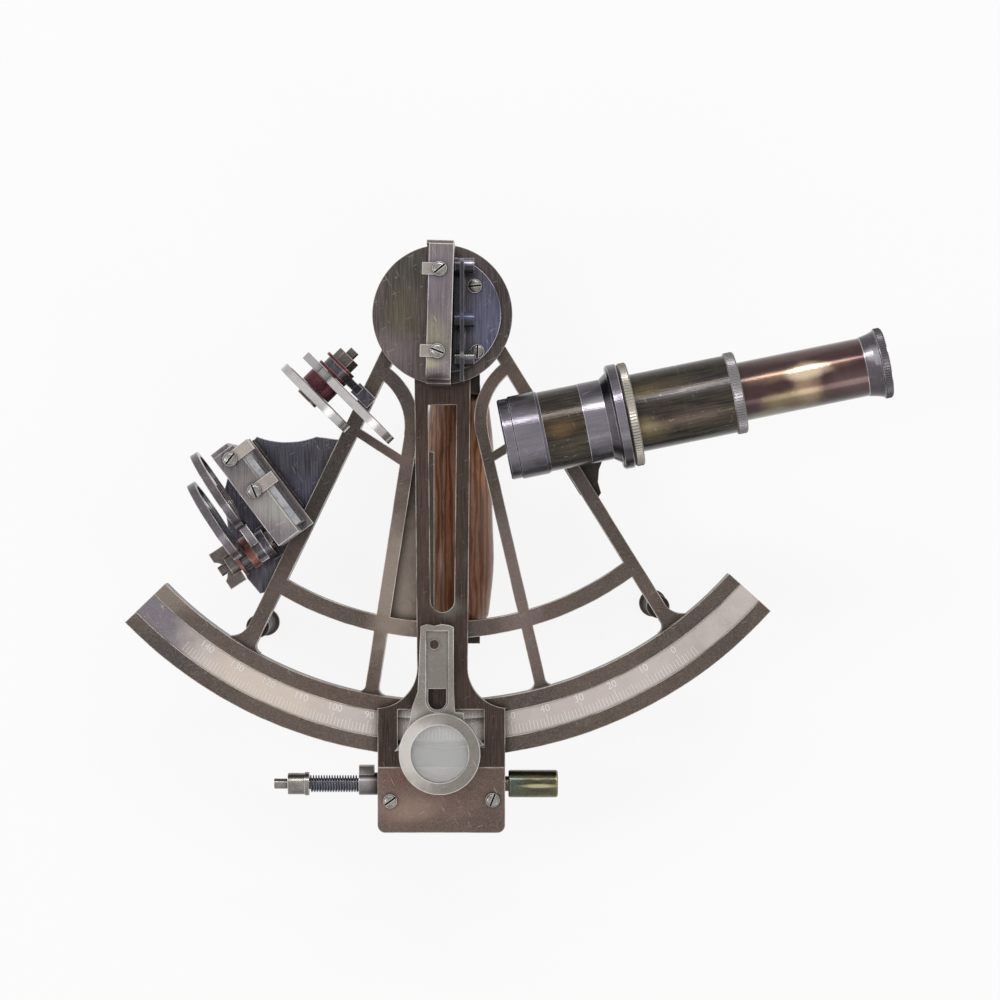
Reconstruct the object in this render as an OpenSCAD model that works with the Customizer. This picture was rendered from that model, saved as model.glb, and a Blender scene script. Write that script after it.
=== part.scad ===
// Vernier sextant, lying face up on its three feet.
// The origin is where the index arm's pivot axis meets the table. +Z points out of the face,
// +X to the eyepiece side, and -Y from the pivot to the middle of the divided arc.

/* [Divided arc and frame] */
// Radius of the arc's inner edge
limb_inner_r = 150.5; // [149:0.5:152]
// Radius of the arc's outer edge
limb_outer_r = 172.4; // [171.5:0.1:173]
// Reach of the arc to the left of straight down, degrees
limb_left_deg = 46; // [44:0.5:48]
// Reach of the arc to the right of straight down, degrees
limb_right_deg = 48; // [46:0.5:50]
// Thickness of the arc
limb_t = 11; // [10.5:0.1:11.3]
// Inner radius of the silvered strip
strip_inner_r = 156.6; // [155:0.1:158]
// Outer radius of the silvered strip
strip_outer_r = 166.3; // [165:0.1:168]
// Thickness of the silvered strip
strip_t = 0.8; // [0.5:0.1:1.2]
// How far the silvered strip lies below the arc's borders
strip_recess = 0.4; // [0.2:0.1:0.8]
// Inner radius of the cross arc
cross_inner_r = 119.7; // [118:0.1:121]
// Outer radius of the cross arc
cross_outer_r = 126.2; // [125.5:0.1:127]
// Height of the frame's back above the table
frame_back_z = 50; // [48:0.5:54]
// Thickness of the legs and the cross arc
leg_t = 8; // [6:0.5:9]
// Radius of the frame's hub
hub_r = 25; // [23:0.5:26]
// Width of the outer left leg
outer_left_w = 6; // [5:0.1:6.5]
// Width of the inner left leg
inner_left_w = 5.4; // [4.5:0.1:6]
// Width of the inner right leg
inner_right_w = 4.7; // [4:0.1:6]
// Width of the outer right leg
outer_right_w = 5.3; // [4.5:0.1:6]
// Radius of the hollow curve where an outer leg meets the arc
leg_flare_r = 9; // [6:0.5:10]

/* [Pivot and feet] */
// Radius of the index arm's journal
journal_r = 5; // [4.5:0.1:5.5]
// Outer radius of the journal's bush
bush_r = 8.5; // [8:0.1:9]
// Radial clearance of a running fit
fit_gap = 0.04; // [0.02:0.01:0.09]
// Radius of a foot's base
foot_r = 5.5; // [4.5:0.1:6]
// Distance of the two outer feet from the pivot axis
foot_at_r = 142; // [140:0.5:143]

/* [Handle] */
// Width of the grip
grip_w = 27.6; // [24:0.2:30]
// Thickness of the grip
grip_t = 22; // [20:0.5:23]
// Sideways place of the grip's middle
grip_x = 6; // [4:0.2:8]
// Lower end of the grip, measured down from the pivot
grip_low_y = 121; // [118:0.5:122]
// Upper end of the grip, measured down from the pivot
grip_high_y = 30; // [29:0.5:34]
// Height of the grip's lower side above the table
grip_z = 8; // [6:0.5:9]

/* [Index arm] */
// Thickness of the index arm
arm_t = 4; // [3.5:0.1:4.4]
// Running gap between the frame's front and the arm
arm_gap = 0.4; // [0.3:0.05:0.6]
// Width of the arm near the pivot
arm_top_w = 22.2; // [20:0.1:23]
// Width of the arm above its lower block
arm_low_w = 19.6; // [18:0.1:20.5]
// Width of the arm's slot at its upper end
slot_top_w = 11; // [9:0.1:11.5]
// Width of the arm's slot at its lower end
slot_low_w = 9.3; // [8:0.1:9.8]
// Width of the arm's lower block
block_w = 49.6; // [46:0.2:51]
// Width of the reading window in the lower block
window_w = 33.6; // [30:0.2:36]
// Radius of the disc on the arm's head
disc_r = 27.2; // [26:0.1:28]
// Thickness of that disc
disc_t = 1.8; // [1.4:0.1:2.2]

/* [Mirrors] */
// Length of the index mirror's frame
index_frame_l = 51.3; // [48:0.1:53]
// Length of the horizon mirror's frame
horizon_frame_l = 41; // [38:0.1:42]
// Width of a mirror frame from back to glass
mirror_frame_w = 9.4; // [8.5:0.1:10]
// Height of a mirror frame
mirror_frame_h = 37; // [34:0.5:39]
// Thickness of a mirror glass
mirror_glass_t = 3; // [2.5:0.1:3.5]
// Turn of the horizon mirror away from the frame's middle line, degrees
horizon_deg = 37; // [35:0.5:39]

/* [Shades] */
// Outer radius of a shade's rim
shade_r = 17; // [15:0.5:17.5]
// Thickness of a shade's rim
shade_t = 3.2; // [2.8:0.1:3.4]
// Thickness of a shade's coloured glass
shade_glass_t = 1.6; // [1.2:0.1:2]
// Distance from an index shade's pin to the middle of its glass
index_shade_reach = 20; // [19:0.5:21]
// Distance from a horizon shade's pin to the middle of its glass
horizon_shade_reach = 30; // [29:0.5:30.5]
// Thickness of the washer between the two index shades
index_washer_t = 5.2; // [4.6:0.1:5.4]
// Thickness of the washer between the two horizon shades
horizon_washer_t = 3; // [2.4:0.1:3.4]

/* [Telescope] */
// Radius of the objective's hood
hood_r = 16; // [15.5:0.1:16.4]
// Radius of the main tube
tube_r = 15; // [14.6:0.1:15.2]
// Radius of the collar's flange
flange_r = 20.2; // [19:0.1:20.6]
// Radius of the draw tube
draw_r = 11.3; // [10.8:0.1:11.8]
// Length of the objective's hood
hood_l = 15.6; // [14:0.1:16]
// Distance from the hood's face to the end of the main tube
tube_end = 88; // [86:0.5:92]
// Distance from the hood's face to the end of the draw tube
draw_end = 140; // [136:0.5:144]
// Turn of the telescope's axis from +X, degrees
scope_deg = 11.5; // [11:0.1:12]
// Height of the telescope's axis above the table
scope_z = 88; // [87:0.5:90]

/* [Tangent screw and clamp] */
// Radius of the tangent screw's thread
screw_r = 3; // [2.6:0.1:3.2]
// Distance of the tangent screw's axis from the pivot
screw_y = 183.1; // [182.6:0.1:183.6]
// Radius of the tangent screw's knob
knob_r = 5.4; // [4.8:0.1:5.6]
// Length of the tangent screw's knob
knob_l = 19.3; // [17:0.1:21]
// Wire radius of the take-up spring
spring_wire_r = 0.3; // [0.26:0.01:0.32]
// Outer radius of the take-up spring
spring_r = 3.4; // [3.3:0.05:3.6]
// Turns of the take-up spring
spring_turns = 18; // [14:1:18]

/* [Magnifier] */
// Outer radius of the magnifier's ring
loupe_r = 15.7; // [15:0.1:16]
// Radius of the magnifier's opening
loupe_bore_r = 11.2; // [10.5:0.1:11.8]
// Distance from the pivot axis to the middle of the magnifier's ring
loupe_y = 170; // [168:0.2:171]
// Distance from the pivot axis to the magnifier's own hinge
loupe_hinge_y = 127; // [126:0.2:129]

/* [Hidden] */
$fn = 64;

// Small allowance by which a cut runs past the face it opens
cut = 1;
// Gap between two curved faces that only lie side by side
side_gap = 0.3;

// Colours as the photograph shows them
bronze = [0.24, 0.20, 0.18];
dark_bronze = [0.16, 0.13, 0.13];
blue_black = [0.15, 0.14, 0.19];
steel = [0.62, 0.62, 0.63];
silver = [0.72, 0.72, 0.72];
old_brass = [0.42, 0.36, 0.26];
red_brown = [0.36, 0.22, 0.18];
maroon = [0.26, 0.12, 0.13];
copper = [0.68, 0.38, 0.32];
wood = [0.52, 0.26, 0.14];
glass = [0.80, 0.84, 0.84];

// Direction in the plane of the frame, a degrees from straight down, positive to the right
function dir(a) = [sin(a), -cos(a)];
function dot(a, b) = a[0] * b[0] + a[1] * b[1];
// Distance from point p along direction a to the circle of radius r about the pivot
function reach(p, a, r) = let (b = dot(p, dir(a))) -b + sqrt(b * b - dot(p, p) + r * r);
function meet(p, a, r) = p + reach(p, a, r) * dir(a);
function deg_of(p) = atan2(p[0], -p[1]);
function lift(p, z) = [p[0], p[1], z];

// Heights above the table
leg_front_z = frame_back_z + leg_t;
limb_front_z = frame_back_z + limb_t;
arm_z = limb_front_z + arm_gap;
arm_top_z = arm_z + arm_t;
disc_top_z = arm_top_z + disc_t;
light_z = scope_z - 1;

// Where each leg starts on the hub, and its turn from straight down
outer_left_at = [-20.5, -13.2];
outer_left_deg = -25.8;
outer_right_at = [22.2, -13.3];
outer_right_deg = 31.8;
// Where the curved head of each inner leg ends and its straight part starts
inner_left_at = [-12.4, -47];
inner_left_deg = -8.8;
inner_right_at = [15.5, -46.3];
inner_right_deg = 13.1;
inner_curve_r = 25.5;
inner_curve_sweep = 64;
// Struts from the outer legs to the inner ones, left and right
struts = [[[-35.3, -44.2], [-14.6, -57.6]], [[40, -42.5], [18, -56]]];
strut_w = 3.6;
hub_boss_r = 16;
small_flare_r = 3;
left_foot_at = meet(outer_left_at, outer_left_deg, foot_at_r);
right_foot_at = meet(outer_right_at, outer_right_deg, foot_at_r);

// Groove in the arc's outer edge that the clamp's lip runs in
groove_depth = 2;
groove_w = 2.4;
groove_z = frame_back_z + limb_t / 2;
strip_z = limb_front_z - strip_recess - strip_t;

// Small fastener sizes
head_r = 2.7;
head_t = 1.6;
slot_w = 0.8;
slot_d = 0.7;
shank_r = 1.25;

// A slotted cheese head on the plane z = 0 with its shank going down
module slotted_screw(shank_l, r = head_r, turn = 0) {
    difference() {
        union() {
            cylinder(r = r, h = head_t);
            translate([0, 0, -shank_l]) cylinder(r = shank_r, h = shank_l);
        }
        rotate([0, 0, turn])
            translate([-r - cut, -slot_w / 2, head_t - slot_d])
                cube([2 * (r + cut), slot_w, slot_d + cut]);
    }
}

// Hole for such a screw, from z = -depth up to the plane z = 0
module screw_hole(depth) {
    translate([0, 0, -depth]) cylinder(r = shank_r + fit_gap, h = depth + cut);
}

// Flat wedge about the pivot between two turns from straight down
module wedge(a0, a1, r) {
    steps = ceil((a1 - a0) / 30);
    polygon(concat(
        [[0, 0]],
        [for (i = [0 : steps]) r / cos(15) * dir(a0 + (a1 - a0) * i / steps)]
    ));
}

// Flat band of a ring about the pivot
module band(r0, r1, a0, a1) {
    difference() {
        intersection() {
            circle(r = r1, $fn = 180);
            wedge(a0, a1, r1 + cut);
        }
        circle(r = r0, $fn = 180);
    }
}

// Flat straight bar of width w from p to q
module bar(p, q, w) {
    d = q - p;
    translate(p)
        rotate(atan2(d[1], d[0]))
            translate([0, -w / 2]) square([norm(d), w]);
}

// Hollow curve on one side of a leg's foot. It runs a little into the leg, so that no two edges
// only touch.
sink = 0.05;
module foot_flare(w, r, depth) {
    difference() {
        translate([w / 2 - cut, -depth]) square([cut + r, depth + r - 0.4]);
        translate([w / 2 + r - sink, r]) circle(r = r);
    }
}

// Flat bar with a foot that widens in two hollow curves where it meets the arc
module leg(p, a, w, r_end, flare_l, flare_r) {
    e = meet(p, a, r_end);
    depth = 3;
    bar(p, e + depth * dir(a), w);
    translate(e) rotate(a) {
        foot_flare(w, flare_r, depth);
        mirror([1, 0]) foot_flare(w, flare_l, depth);
    }
}

// Flat curved head of an inner leg, bending outwards from the leg's top to the hub.
// side is 1 on the right and -1 on the left, and a is the leg's turn.
module curved_head(p, a, w, side) {
    c = p + inner_curve_r * [side * cos(a), sin(abs(a))];
    half_w = w / 2 + 3 * sink;
    start = side > 0 ? 180 + abs(a) - inner_curve_sweep : -abs(a);
    translate(c) intersection() {
        difference() {
            circle(r = inner_curve_r + half_w);
            circle(r = inner_curve_r - half_w);
        }
        polygon(concat(
            [[0, 0]],
            [for (i = [0 : 3])
                let (t = start + inner_curve_sweep * i / 3)
                2 * inner_curve_r * [cos(t), sin(t)]]
        ));
    }
}

module legs_outline() {
    leg(outer_left_at, outer_left_deg, outer_left_w, limb_inner_r, leg_flare_r, small_flare_r);
    leg(outer_right_at, outer_right_deg, outer_right_w, limb_inner_r, small_flare_r, leg_flare_r);
    leg(inner_left_at, inner_left_deg, inner_left_w, limb_inner_r, small_flare_r, small_flare_r);
    leg(inner_right_at, inner_right_deg, inner_right_w, limb_inner_r, small_flare_r, small_flare_r);
    curved_head(inner_left_at, inner_left_deg, inner_left_w, -1);
    curved_head(inner_right_at, inner_right_deg, inner_right_w, 1);
    for (s = struts) bar(s[0], s[1], strut_w);
    band(
        cross_inner_r, cross_outer_r,
        deg_of(meet(outer_left_at, outer_left_deg, cross_inner_r)),
        deg_of(meet(outer_right_at, outer_right_deg, cross_inner_r))
    );
}

// The casting: divided arc, hub, four legs, strut and cross arc in one piece
module limb_frame() {
    color(bronze) difference() {
        union() {
            translate([0, 0, frame_back_z]) linear_extrude(limb_t)
                band(limb_inner_r, limb_outer_r, -limb_left_deg, limb_right_deg);
            translate([0, 0, frame_back_z]) linear_extrude(leg_t) difference() {
                legs_outline();
                circle(r = hub_r - cut);
            }
            translate([0, 0, frame_back_z]) cylinder(r = hub_r, h = leg_t);
            translate([0, 0, frame_back_z]) cylinder(r = hub_boss_r, h = limb_t);
        }
        translate([0, 0, strip_z]) linear_extrude(strip_t + strip_recess + cut)
            band(strip_inner_r, strip_outer_r, -limb_left_deg - cut, limb_right_deg + cut);
        translate([0, 0, groove_z - groove_w / 2]) linear_extrude(groove_w)
            band(
                limb_outer_r - groove_depth, limb_outer_r + cut,
                -limb_left_deg - cut, limb_right_deg + cut
            );
        translate([0, 0, frame_back_z - cut]) cylinder(r = bush_r, h = limb_t + 2 * cut);
        for (p = frame_screw_places)
            translate(lift(p, frame_back_z)) mirror([0, 0, 1]) screw_hole(leg_t - 2);
    }
}

module scale_strip() {
    color(silver) translate([0, 0, strip_z]) linear_extrude(strip_t)
        band(strip_inner_r, strip_outer_r, -limb_left_deg, limb_right_deg);
}

// Pivot: a bush pressed into the hub, the arm's journal in it, and a cap that is the third foot
bush_flange_r = 12;
bush_flange_t = 3;
bush_low_z = frame_back_z - 16;
bush_top_z = arm_z - fit_gap;
stud_r = 3;
pivot_washer_t = 1;
pivot_nut_r = 6;
pivot_nut_t = 3;
cap_wall = 2.4;

module pivot_bush() {
    color(old_brass) difference() {
        union() {
            translate([0, 0, bush_low_z]) cylinder(r = bush_r, h = bush_top_z - bush_low_z);
            translate([0, 0, frame_back_z - bush_flange_t])
                cylinder(r = bush_flange_r, h = bush_flange_t);
        }
        translate([0, 0, bush_low_z - cut])
            cylinder(r = journal_r + fit_gap, h = bush_top_z - bush_low_z + 2 * cut);
    }
}

module pivot_journal() {
    washer_z = bush_low_z - fit_gap - pivot_washer_t;
    color(steel) union() {
        translate([0, 0, bush_low_z - fit_gap]) cylinder(r = journal_r, h = arm_z - bush_low_z + fit_gap);
        translate([0, 0, arm_z]) cylinder(r = stud_r, h = arm_t);
        translate([0, 0, washer_z]) cylinder(r = bush_r - cut, h = pivot_washer_t);
        translate([0, 0, washer_z - pivot_nut_t]) cylinder(r = pivot_nut_r, h = pivot_nut_t, $fn = 6);
        translate([0, 0, washer_z - pivot_nut_t - 2]) cylinder(r = stud_r, h = 2);
    }
}

module pivot_foot() {
    cap_r = bush_r + cap_wall;
    cap_top = frame_back_z - bush_flange_t - 1;
    cavity_z = bush_low_z - pivot_washer_t - pivot_nut_t - 5;
    color(dark_bronze) rotate_extrude($fn = 96) difference() {
        polygon([
            [0, 0], [foot_r + 1.5, 0], [foot_r + 2, 0.6], [foot_r + 2, 3], [foot_r, 5],
            [foot_r - 0.5, cavity_z - 8], [cap_r, cavity_z], [cap_r, cap_top], [0, cap_top]
        ]);
        translate([0, cavity_z]) square([bush_r + fit_gap, cap_top]);
    }
}

module turned_foot(place) {
    neck_r = 3.2;
    color(dark_bronze) translate(lift(place, 0)) rotate_extrude() difference() {
        polygon([
            [0, 0], [foot_r - 0.6, 0], [foot_r, 0.6], [foot_r, 4], [foot_r - 1.4, 5.5],
            [neck_r, 9], [neck_r, frame_back_z - 10], [foot_r - 1, frame_back_z - 5],
            [foot_r - 1, frame_back_z], [0, frame_back_z]
        ]);
        translate([neck_r + 6, frame_back_z / 2]) circle(r = 6.6);
    }
}

module left_foot() { turned_foot(left_foot_at); }
module right_foot() { turned_foot(right_foot_at); }

// Handle: a waisted wooden grip between two brackets that stand off the back of the frame
bracket_t = 4;
bracket_w = 17;
bracket_foot_l = 11;
bracket_foot_t = 3;
grip_mid_z = grip_z + grip_t / 2;
grip_l = grip_low_y - grip_high_y;
grip_rings = 14;
grip_sides = 32;

// How full the grip is at share s of its length: a swell in the middle and eased ends
function grip_fill(s) =
    let (edge = min(s, 1 - s) * grip_l, ease = min(edge, 4) / 4)
    (0.95 + 0.05 * sin(180 * s)) * (0.86 + 0.14 * sqrt(ease * (2 - ease)));
function soft_cos(t, e) = sign(cos(t)) * pow(abs(cos(t)), e);
function soft_sin(t, e) = sign(sin(t)) * pow(abs(sin(t)), e);

module handle_grip() {
    squareness = 0.62;
    stops = [0, 0.012, 0.03, 0.06, 0.16, 0.28, 0.4, 0.6, 0.72, 0.84, 0.94, 0.97, 0.988, 1];
    points = [for (s = stops, i = [0 : grip_sides - 1])
        let (t = 360 * i / grip_sides, f = grip_fill(s))
        [
            grip_x + f * grip_w / 2 * soft_cos(t, squareness),
            -grip_high_y - s * grip_l,
            grip_mid_z + f * grip_t / 2 * soft_sin(t, squareness)
        ]];
    walls = [for (r = [0 : grip_rings - 2], i = [0 : grip_sides - 1])
        let (j = (i + 1) % grip_sides, a = r * grip_sides)
        each [[a + i, a + j, a + grip_sides + i], [a + j, a + grip_sides + j, a + grip_sides + i]]];
    last = (grip_rings - 1) * grip_sides;
    ends = [
        [for (i = [0 : grip_sides - 1]) grip_sides - 1 - i],
        [for (i = [0 : grip_sides - 1]) last + i]
    ];
    color(wood) polyhedron(points, concat(walls, ends));
}

// Bracket profile seen along Y: a plate with a round lower end, as wide as bracket_w
module bracket_plate() {
    translate([grip_x, 0, 0]) rotate([90, 0, 0]) linear_extrude(bracket_t) union() {
        translate([0, grip_mid_z]) circle(r = bracket_w / 2);
        translate([-bracket_w / 2, grip_mid_z]) square([bracket_w, frame_back_z - grip_mid_z]);
    }
}

module handle_upper_bracket() {
    color(dark_bronze) difference() {
        union() {
            translate([0, -grip_high_y + bracket_t, 0]) bracket_plate();
            translate([grip_x - bracket_w / 2, -grip_high_y, frame_back_z - bracket_foot_t])
                cube([bracket_w, bracket_foot_l, bracket_foot_t]);
        }
        translate([0, 0, frame_back_z - bracket_foot_t - cut])
            cylinder(r = bush_flange_r + side_gap, h = bracket_foot_t + 2 * cut);
        translate([grip_x, -grip_high_y, grip_mid_z])
            rotate([90, 0, 0]) translate([0, 0, -bracket_t - cut])
                cylinder(r = shank_r + fit_gap, h = bracket_t + 2 * cut);
    }
}

module handle_lower_bracket() {
    color(dark_bronze) difference() {
        union() {
            translate([0, -grip_low_y, 0]) bracket_plate();
            translate([grip_x - bracket_w / 2, -grip_low_y - bracket_foot_l / 2 - bracket_t / 2,
                frame_back_z - bracket_foot_t])
                cube([bracket_w, bracket_foot_l - 3, bracket_foot_t]);
        }
        translate([grip_x, -grip_low_y, grip_mid_z])
            rotate([90, 0, 0]) translate([0, 0, -cut])
                cylinder(r = shank_r + fit_gap, h = bracket_t + 2 * cut);
    }
}

// Thin plate that closes the frame between the inner left leg and the arm
handle_plate_t = 2;
module handle_plate() {
    color(bronze) translate([0, 0, frame_back_z - handle_plate_t]) linear_extrude(handle_plate_t)
        polygon([
            inner_left_at + [-inner_left_w / 2, -6],
            meet(inner_left_at, inner_left_deg, cross_inner_r + 2) - [inner_left_w / 2, 0],
            [-bracket_w / 2 + grip_x - cut, -cross_inner_r - 2],
            [-bracket_w / 2 + grip_x - cut, inner_left_at[1] - 6]
        ]);
}

// Screws that hold the grip between its brackets
module handle_screws() {
    color(steel) {
        translate([grip_x, -grip_high_y + bracket_t, grip_mid_z]) rotate([-90, 0, 0])
            slotted_screw(bracket_t - 0.5);
        translate([grip_x, -grip_low_y - bracket_t, grip_mid_z]) rotate([90, 0, 0])
            slotted_screw(bracket_t - 0.5);
    }
}

// Mirrors: each stands in a cast frame, held by two clips with slotted screws.
// A mirror's own frame of reference has +X out of the glass, and its origin under the glass.
base_z = disc_top_z;
base_t = 1.3;
mirror_z = base_z + base_t;
index_mirror_at = [-5, -0.7];
index_mirror_deg = 178.5;
horizon_mirror_at = [-65.9, -67.3];
horizon_proud = 3;
frame_wall = 2.4;
clip_w = 4.6;
clip_t = 0.9;
clip_in = 4.2;
index_clip_at = [-16, 15];
horizon_clip_at = [1.5, 16.6];

module at_index_mirror() {
    translate(lift(index_mirror_at, 0)) rotate(index_mirror_deg) children();
}

module at_horizon_mirror() {
    translate(lift(horizon_mirror_at, 0)) rotate(horizon_deg) children();
}

// Frame of a mirror whose glass stands proud of the frame by the given amount
module mirror_frame(l, proud, clip_places) {
    seat = proud > 0 ? 0 : mirror_glass_t;
    difference() {
        union() {
            translate([-mirror_frame_w, -l / 2, mirror_z])
                cube([mirror_frame_w, l, mirror_frame_h]);
            if (proud > 0)
                translate([-cut, -l / 2, mirror_z]) cube([cut + proud + 1.6, l, frame_wall]);
        }
        translate([-seat, -l / 2 + frame_wall, mirror_z + frame_wall])
            cube([seat + proud + cut, l - 2 * frame_wall, mirror_frame_h - frame_wall - clip_t]);
        translate([-mirror_frame_w + frame_wall, -l / 2 + 2 * frame_wall, mirror_z + 2 * frame_wall])
            cube([
                mirror_frame_w - frame_wall + cut, l - 4 * frame_wall,
                mirror_frame_h - 4 * frame_wall
            ]);
        for (y = clip_places)
            translate([-clip_in, y, mirror_z + mirror_frame_h]) screw_hole(3);
    }
}

// Glass between the frame's end walls
module mirror_glass(l, proud) {
    seat = proud > 0 ? 0 : mirror_glass_t;
    gap = 0.05;
    translate([-seat + gap, -l / 2 + frame_wall + gap, mirror_z + frame_wall])
        cube([mirror_glass_t - 2 * gap, l - 2 * (frame_wall + gap), mirror_frame_h - frame_wall - clip_t]);
}

// One clip: a strip on top of the frame that turns down over the front of the glass
module clip(y, proud) {
    top_z = mirror_z + mirror_frame_h;
    front = proud + 2.4;
    difference() {
        union() {
            translate([-clip_in, y - clip_w / 2, top_z]) cube([clip_in + front, clip_w, clip_t]);
            translate([-clip_in, y, top_z]) cylinder(r = clip_w / 2 + 0.5, h = clip_t);
            translate([front - clip_t, y - clip_w / 2, top_z - 6]) cube([clip_t, clip_w, 6]);
            translate([proud, y - clip_w / 2, top_z - 6]) cube([front - proud, clip_w, clip_t]);
        }
        translate([-clip_in, y, top_z - cut]) cylinder(r = shank_r + fit_gap, h = clip_t + 2 * cut);
    }
}

module clip_screws(places, turns) {
    for (i = [0 : len(places) - 1])
        translate([-clip_in, places[i], mirror_z + mirror_frame_h + clip_t])
            slotted_screw(clip_t + 2.5, turn = turns[i]);
}

module index_mirror_frame() {
    color(steel) at_index_mirror() {
        mirror_frame(index_frame_l, 0, index_clip_at);
        translate([-mirror_frame_w, -index_frame_l / 2 - 1.4, mirror_z + 3])
            cube([mirror_frame_w + 1, 1.4, mirror_frame_h - 4.5]);
        translate([-mirror_frame_w, index_frame_l / 2, mirror_z + 3])
            cube([mirror_frame_w, 1.6, mirror_frame_h - 7]);
    }
}
module index_mirror_glass() {
    color(glass) at_index_mirror() mirror_glass(index_frame_l, 0);
}
module index_clips() {
    color(silver) at_index_mirror() for (y = index_clip_at) clip(y, 0);
}

module horizon_mirror_frame() {
    color(steel) at_horizon_mirror() {
        mirror_frame(horizon_frame_l, horizon_proud, horizon_clip_at);
        translate([-mirror_frame_w, horizon_frame_l / 2, mirror_z + 3])
            cube([mirror_frame_w - 1.5, 1.8, mirror_frame_h - 4]);
    }
}
module horizon_mirror_glass() {
    color(glass) at_horizon_mirror() mirror_glass(horizon_frame_l, horizon_proud);
}
module horizon_clips() {
    color(silver) at_horizon_mirror() for (y = horizon_clip_at) clip(y, horizon_proud);
}
module horizon_clip_screws() {
    color(steel) at_horizon_mirror() clip_screws(horizon_clip_at, [75, 15]);
}

// Half-round base on the arm's disc, with an upright that the adjusting barrels pass through
base_r = 22.8;
upright_x = 7.2;
upright_t = 1.5;
upright_low_y = -27;
upright_high_y = 19.5;
barrel_r = 3;
barrel_l = 7.4;
barrel_places = [[18, 14], [-3, 22], [-17.5, 14]];
base_screw_places = [[12.6, 11], [13.6, -14.4]];

module index_mirror_base() {
    back_x = index_mirror_at[0] + mirror_frame_w;
    color(blue_black) difference() {
        union() {
            intersection() {
                translate([0, 0, base_z]) cylinder(r = base_r, h = base_t);
                at_index_mirror() translate([-2 * base_r, -2 * base_r, base_z])
                    cube([2 * base_r, 4 * base_r, base_t]);
            }
            translate([upright_x, upright_low_y, base_z + base_t - 0.5])
                cube([upright_t, upright_high_y - upright_low_y, mirror_frame_h - 6]);
            translate([upright_x, -base_r + 6, base_z]) cube([upright_t, 2 * base_r - 12, base_t]);
            for (b = barrel_places)
                translate([back_x + 0.7, b[0], base_z + b[1]]) rotate([0, 90, 0])
                    cylinder(r = barrel_r, h = barrel_l);
        }
        for (p = base_screw_places) translate(lift(p, base_z + base_t)) screw_hole(base_t + cut);
    }
}

// Screws that ride on the arm: two on the mirror's clips, two on its base, two in the cover
module arm_screws() {
    color(steel) {
        at_index_mirror() clip_screws(index_clip_at, [40, -20]);
        for (i = [0 : len(base_screw_places) - 1])
            translate(lift(base_screw_places[i], base_z + base_t))
                slotted_screw(base_t - 0.2, turn = [5, 88][i]);
        for (i = [0 : len(cover_screw_places) - 1])
            translate(lift(cover_screw_places[i], cover_top_z))
                slotted_screw(arm_t + 1, turn = [35, 68][i]);
    }
}

// Bracket behind the outer left leg that carries the horizon mirror and its shades
side_bracket_t = 4;
side_bracket_z = frame_back_z - side_bracket_t;
horizon_foot_t = 2.4;

module horizon_bracket() {
    color(blue_black) difference() {
        translate([0, 0, side_bracket_z]) linear_extrude(side_bracket_t) difference() {
            polygon([
                [-35.5, -49], [-50, -47], [-73.3, -47], [-84, -60], [-86.5, -70],
                [-84, -88], [-77, -103], [-72, -109], [-66, -107]
            ]);
            translate([-61.6, -16.7]) circle(r = 32.5);
        }
        for (p = frame_screw_left) translate(lift(p, frame_back_z)) screw_hole(side_bracket_t + cut);
    }
}

module horizon_mirror_base() {
    color(dark_bronze) at_horizon_mirror() {
        translate([-mirror_frame_w, -12.3, frame_back_z]) cube([mirror_frame_w + 4.8, 32.6, horizon_foot_t]);
        translate([-mirror_frame_w + 0.5, -12, frame_back_z])
            cube([mirror_frame_w - 0.5, 28, mirror_z - frame_back_z]);
    }
}

// Screws that hold the two side brackets to the legs, from behind
frame_screw_left = [
    outer_left_at + 42 * dir(outer_left_deg), outer_left_at + 88 * dir(outer_left_deg)
];
frame_screw_right = [
    outer_right_at + 36 * dir(outer_right_deg), outer_right_at + 62 * dir(outer_right_deg)
];
frame_screw_places = concat(frame_screw_left, frame_screw_right);

module frame_screws() {
    color(steel) for (p = frame_screw_places)
        translate(lift(p, side_bracket_z)) mirror([0, 0, 1])
            slotted_screw(side_bracket_t + leg_t - 3);
}

// Bracket, socket and stem that carry the telescope, behind and beside the outer right leg
stem_at = [68.1, -40.1];
stem_l = 9;
stem_w = 6;
stem_low_z = 30;
socket_r = 8.5;
socket_low_z = 34;
socket_top_z = 60;
stem_gap = 0.05;
rise_screw_r = 1.5;
rise_knob_r = 7;
rise_knob_low_z = 16;
rise_knob_top_z = 26;

module at_scope(s) {
    translate([scope_at[0], scope_at[1], scope_z]) rotate([0, 90, scope_deg])
        translate([0, 0, s]) children();
}

module telescope_bracket() {
    color(dark_bronze) difference() {
        union() {
            translate([0, 0, side_bracket_z]) linear_extrude(side_bracket_t)
                polygon([
                    [40, -47], [49, -62], [54, -70], [60.5, -72], [62.2, -69.2], [61, -64.9],
                    [61.4, -60], [64, -53], [74, -45], [76, -40], [74, -34], [60, -31], [44, -38]
                ]);
            translate(lift(stem_at, socket_low_z))
                cylinder(r = socket_r, h = socket_top_z - socket_low_z);
        }
        translate(lift(stem_at, socket_low_z - cut)) rotate(scope_deg)
            translate([-stem_l / 2 - stem_gap, -stem_w / 2 - stem_gap, 0])
                cube([
                    stem_l + 2 * stem_gap, stem_w + 2 * stem_gap,
                    socket_top_z - socket_low_z + 2 * cut
                ]);
        for (p = frame_screw_right) translate(lift(p, frame_back_z)) screw_hole(side_bracket_t + cut);
    }
}

module rise_knob() {
    color(old_brass) difference() {
        union() {
            translate(lift(stem_at, rise_knob_low_z))
                cylinder(r = rise_knob_r, h = rise_knob_top_z - rise_knob_low_z);
            translate(lift(stem_at, rise_knob_top_z - cut))
                cylinder(r = rise_screw_r, h = stem_low_z + 14 - rise_knob_top_z);
        }
        translate(lift(stem_at, rise_knob_low_z - cut)) cylinder(r = rise_knob_r - 2.5, h = 2);
    }
}

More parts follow.
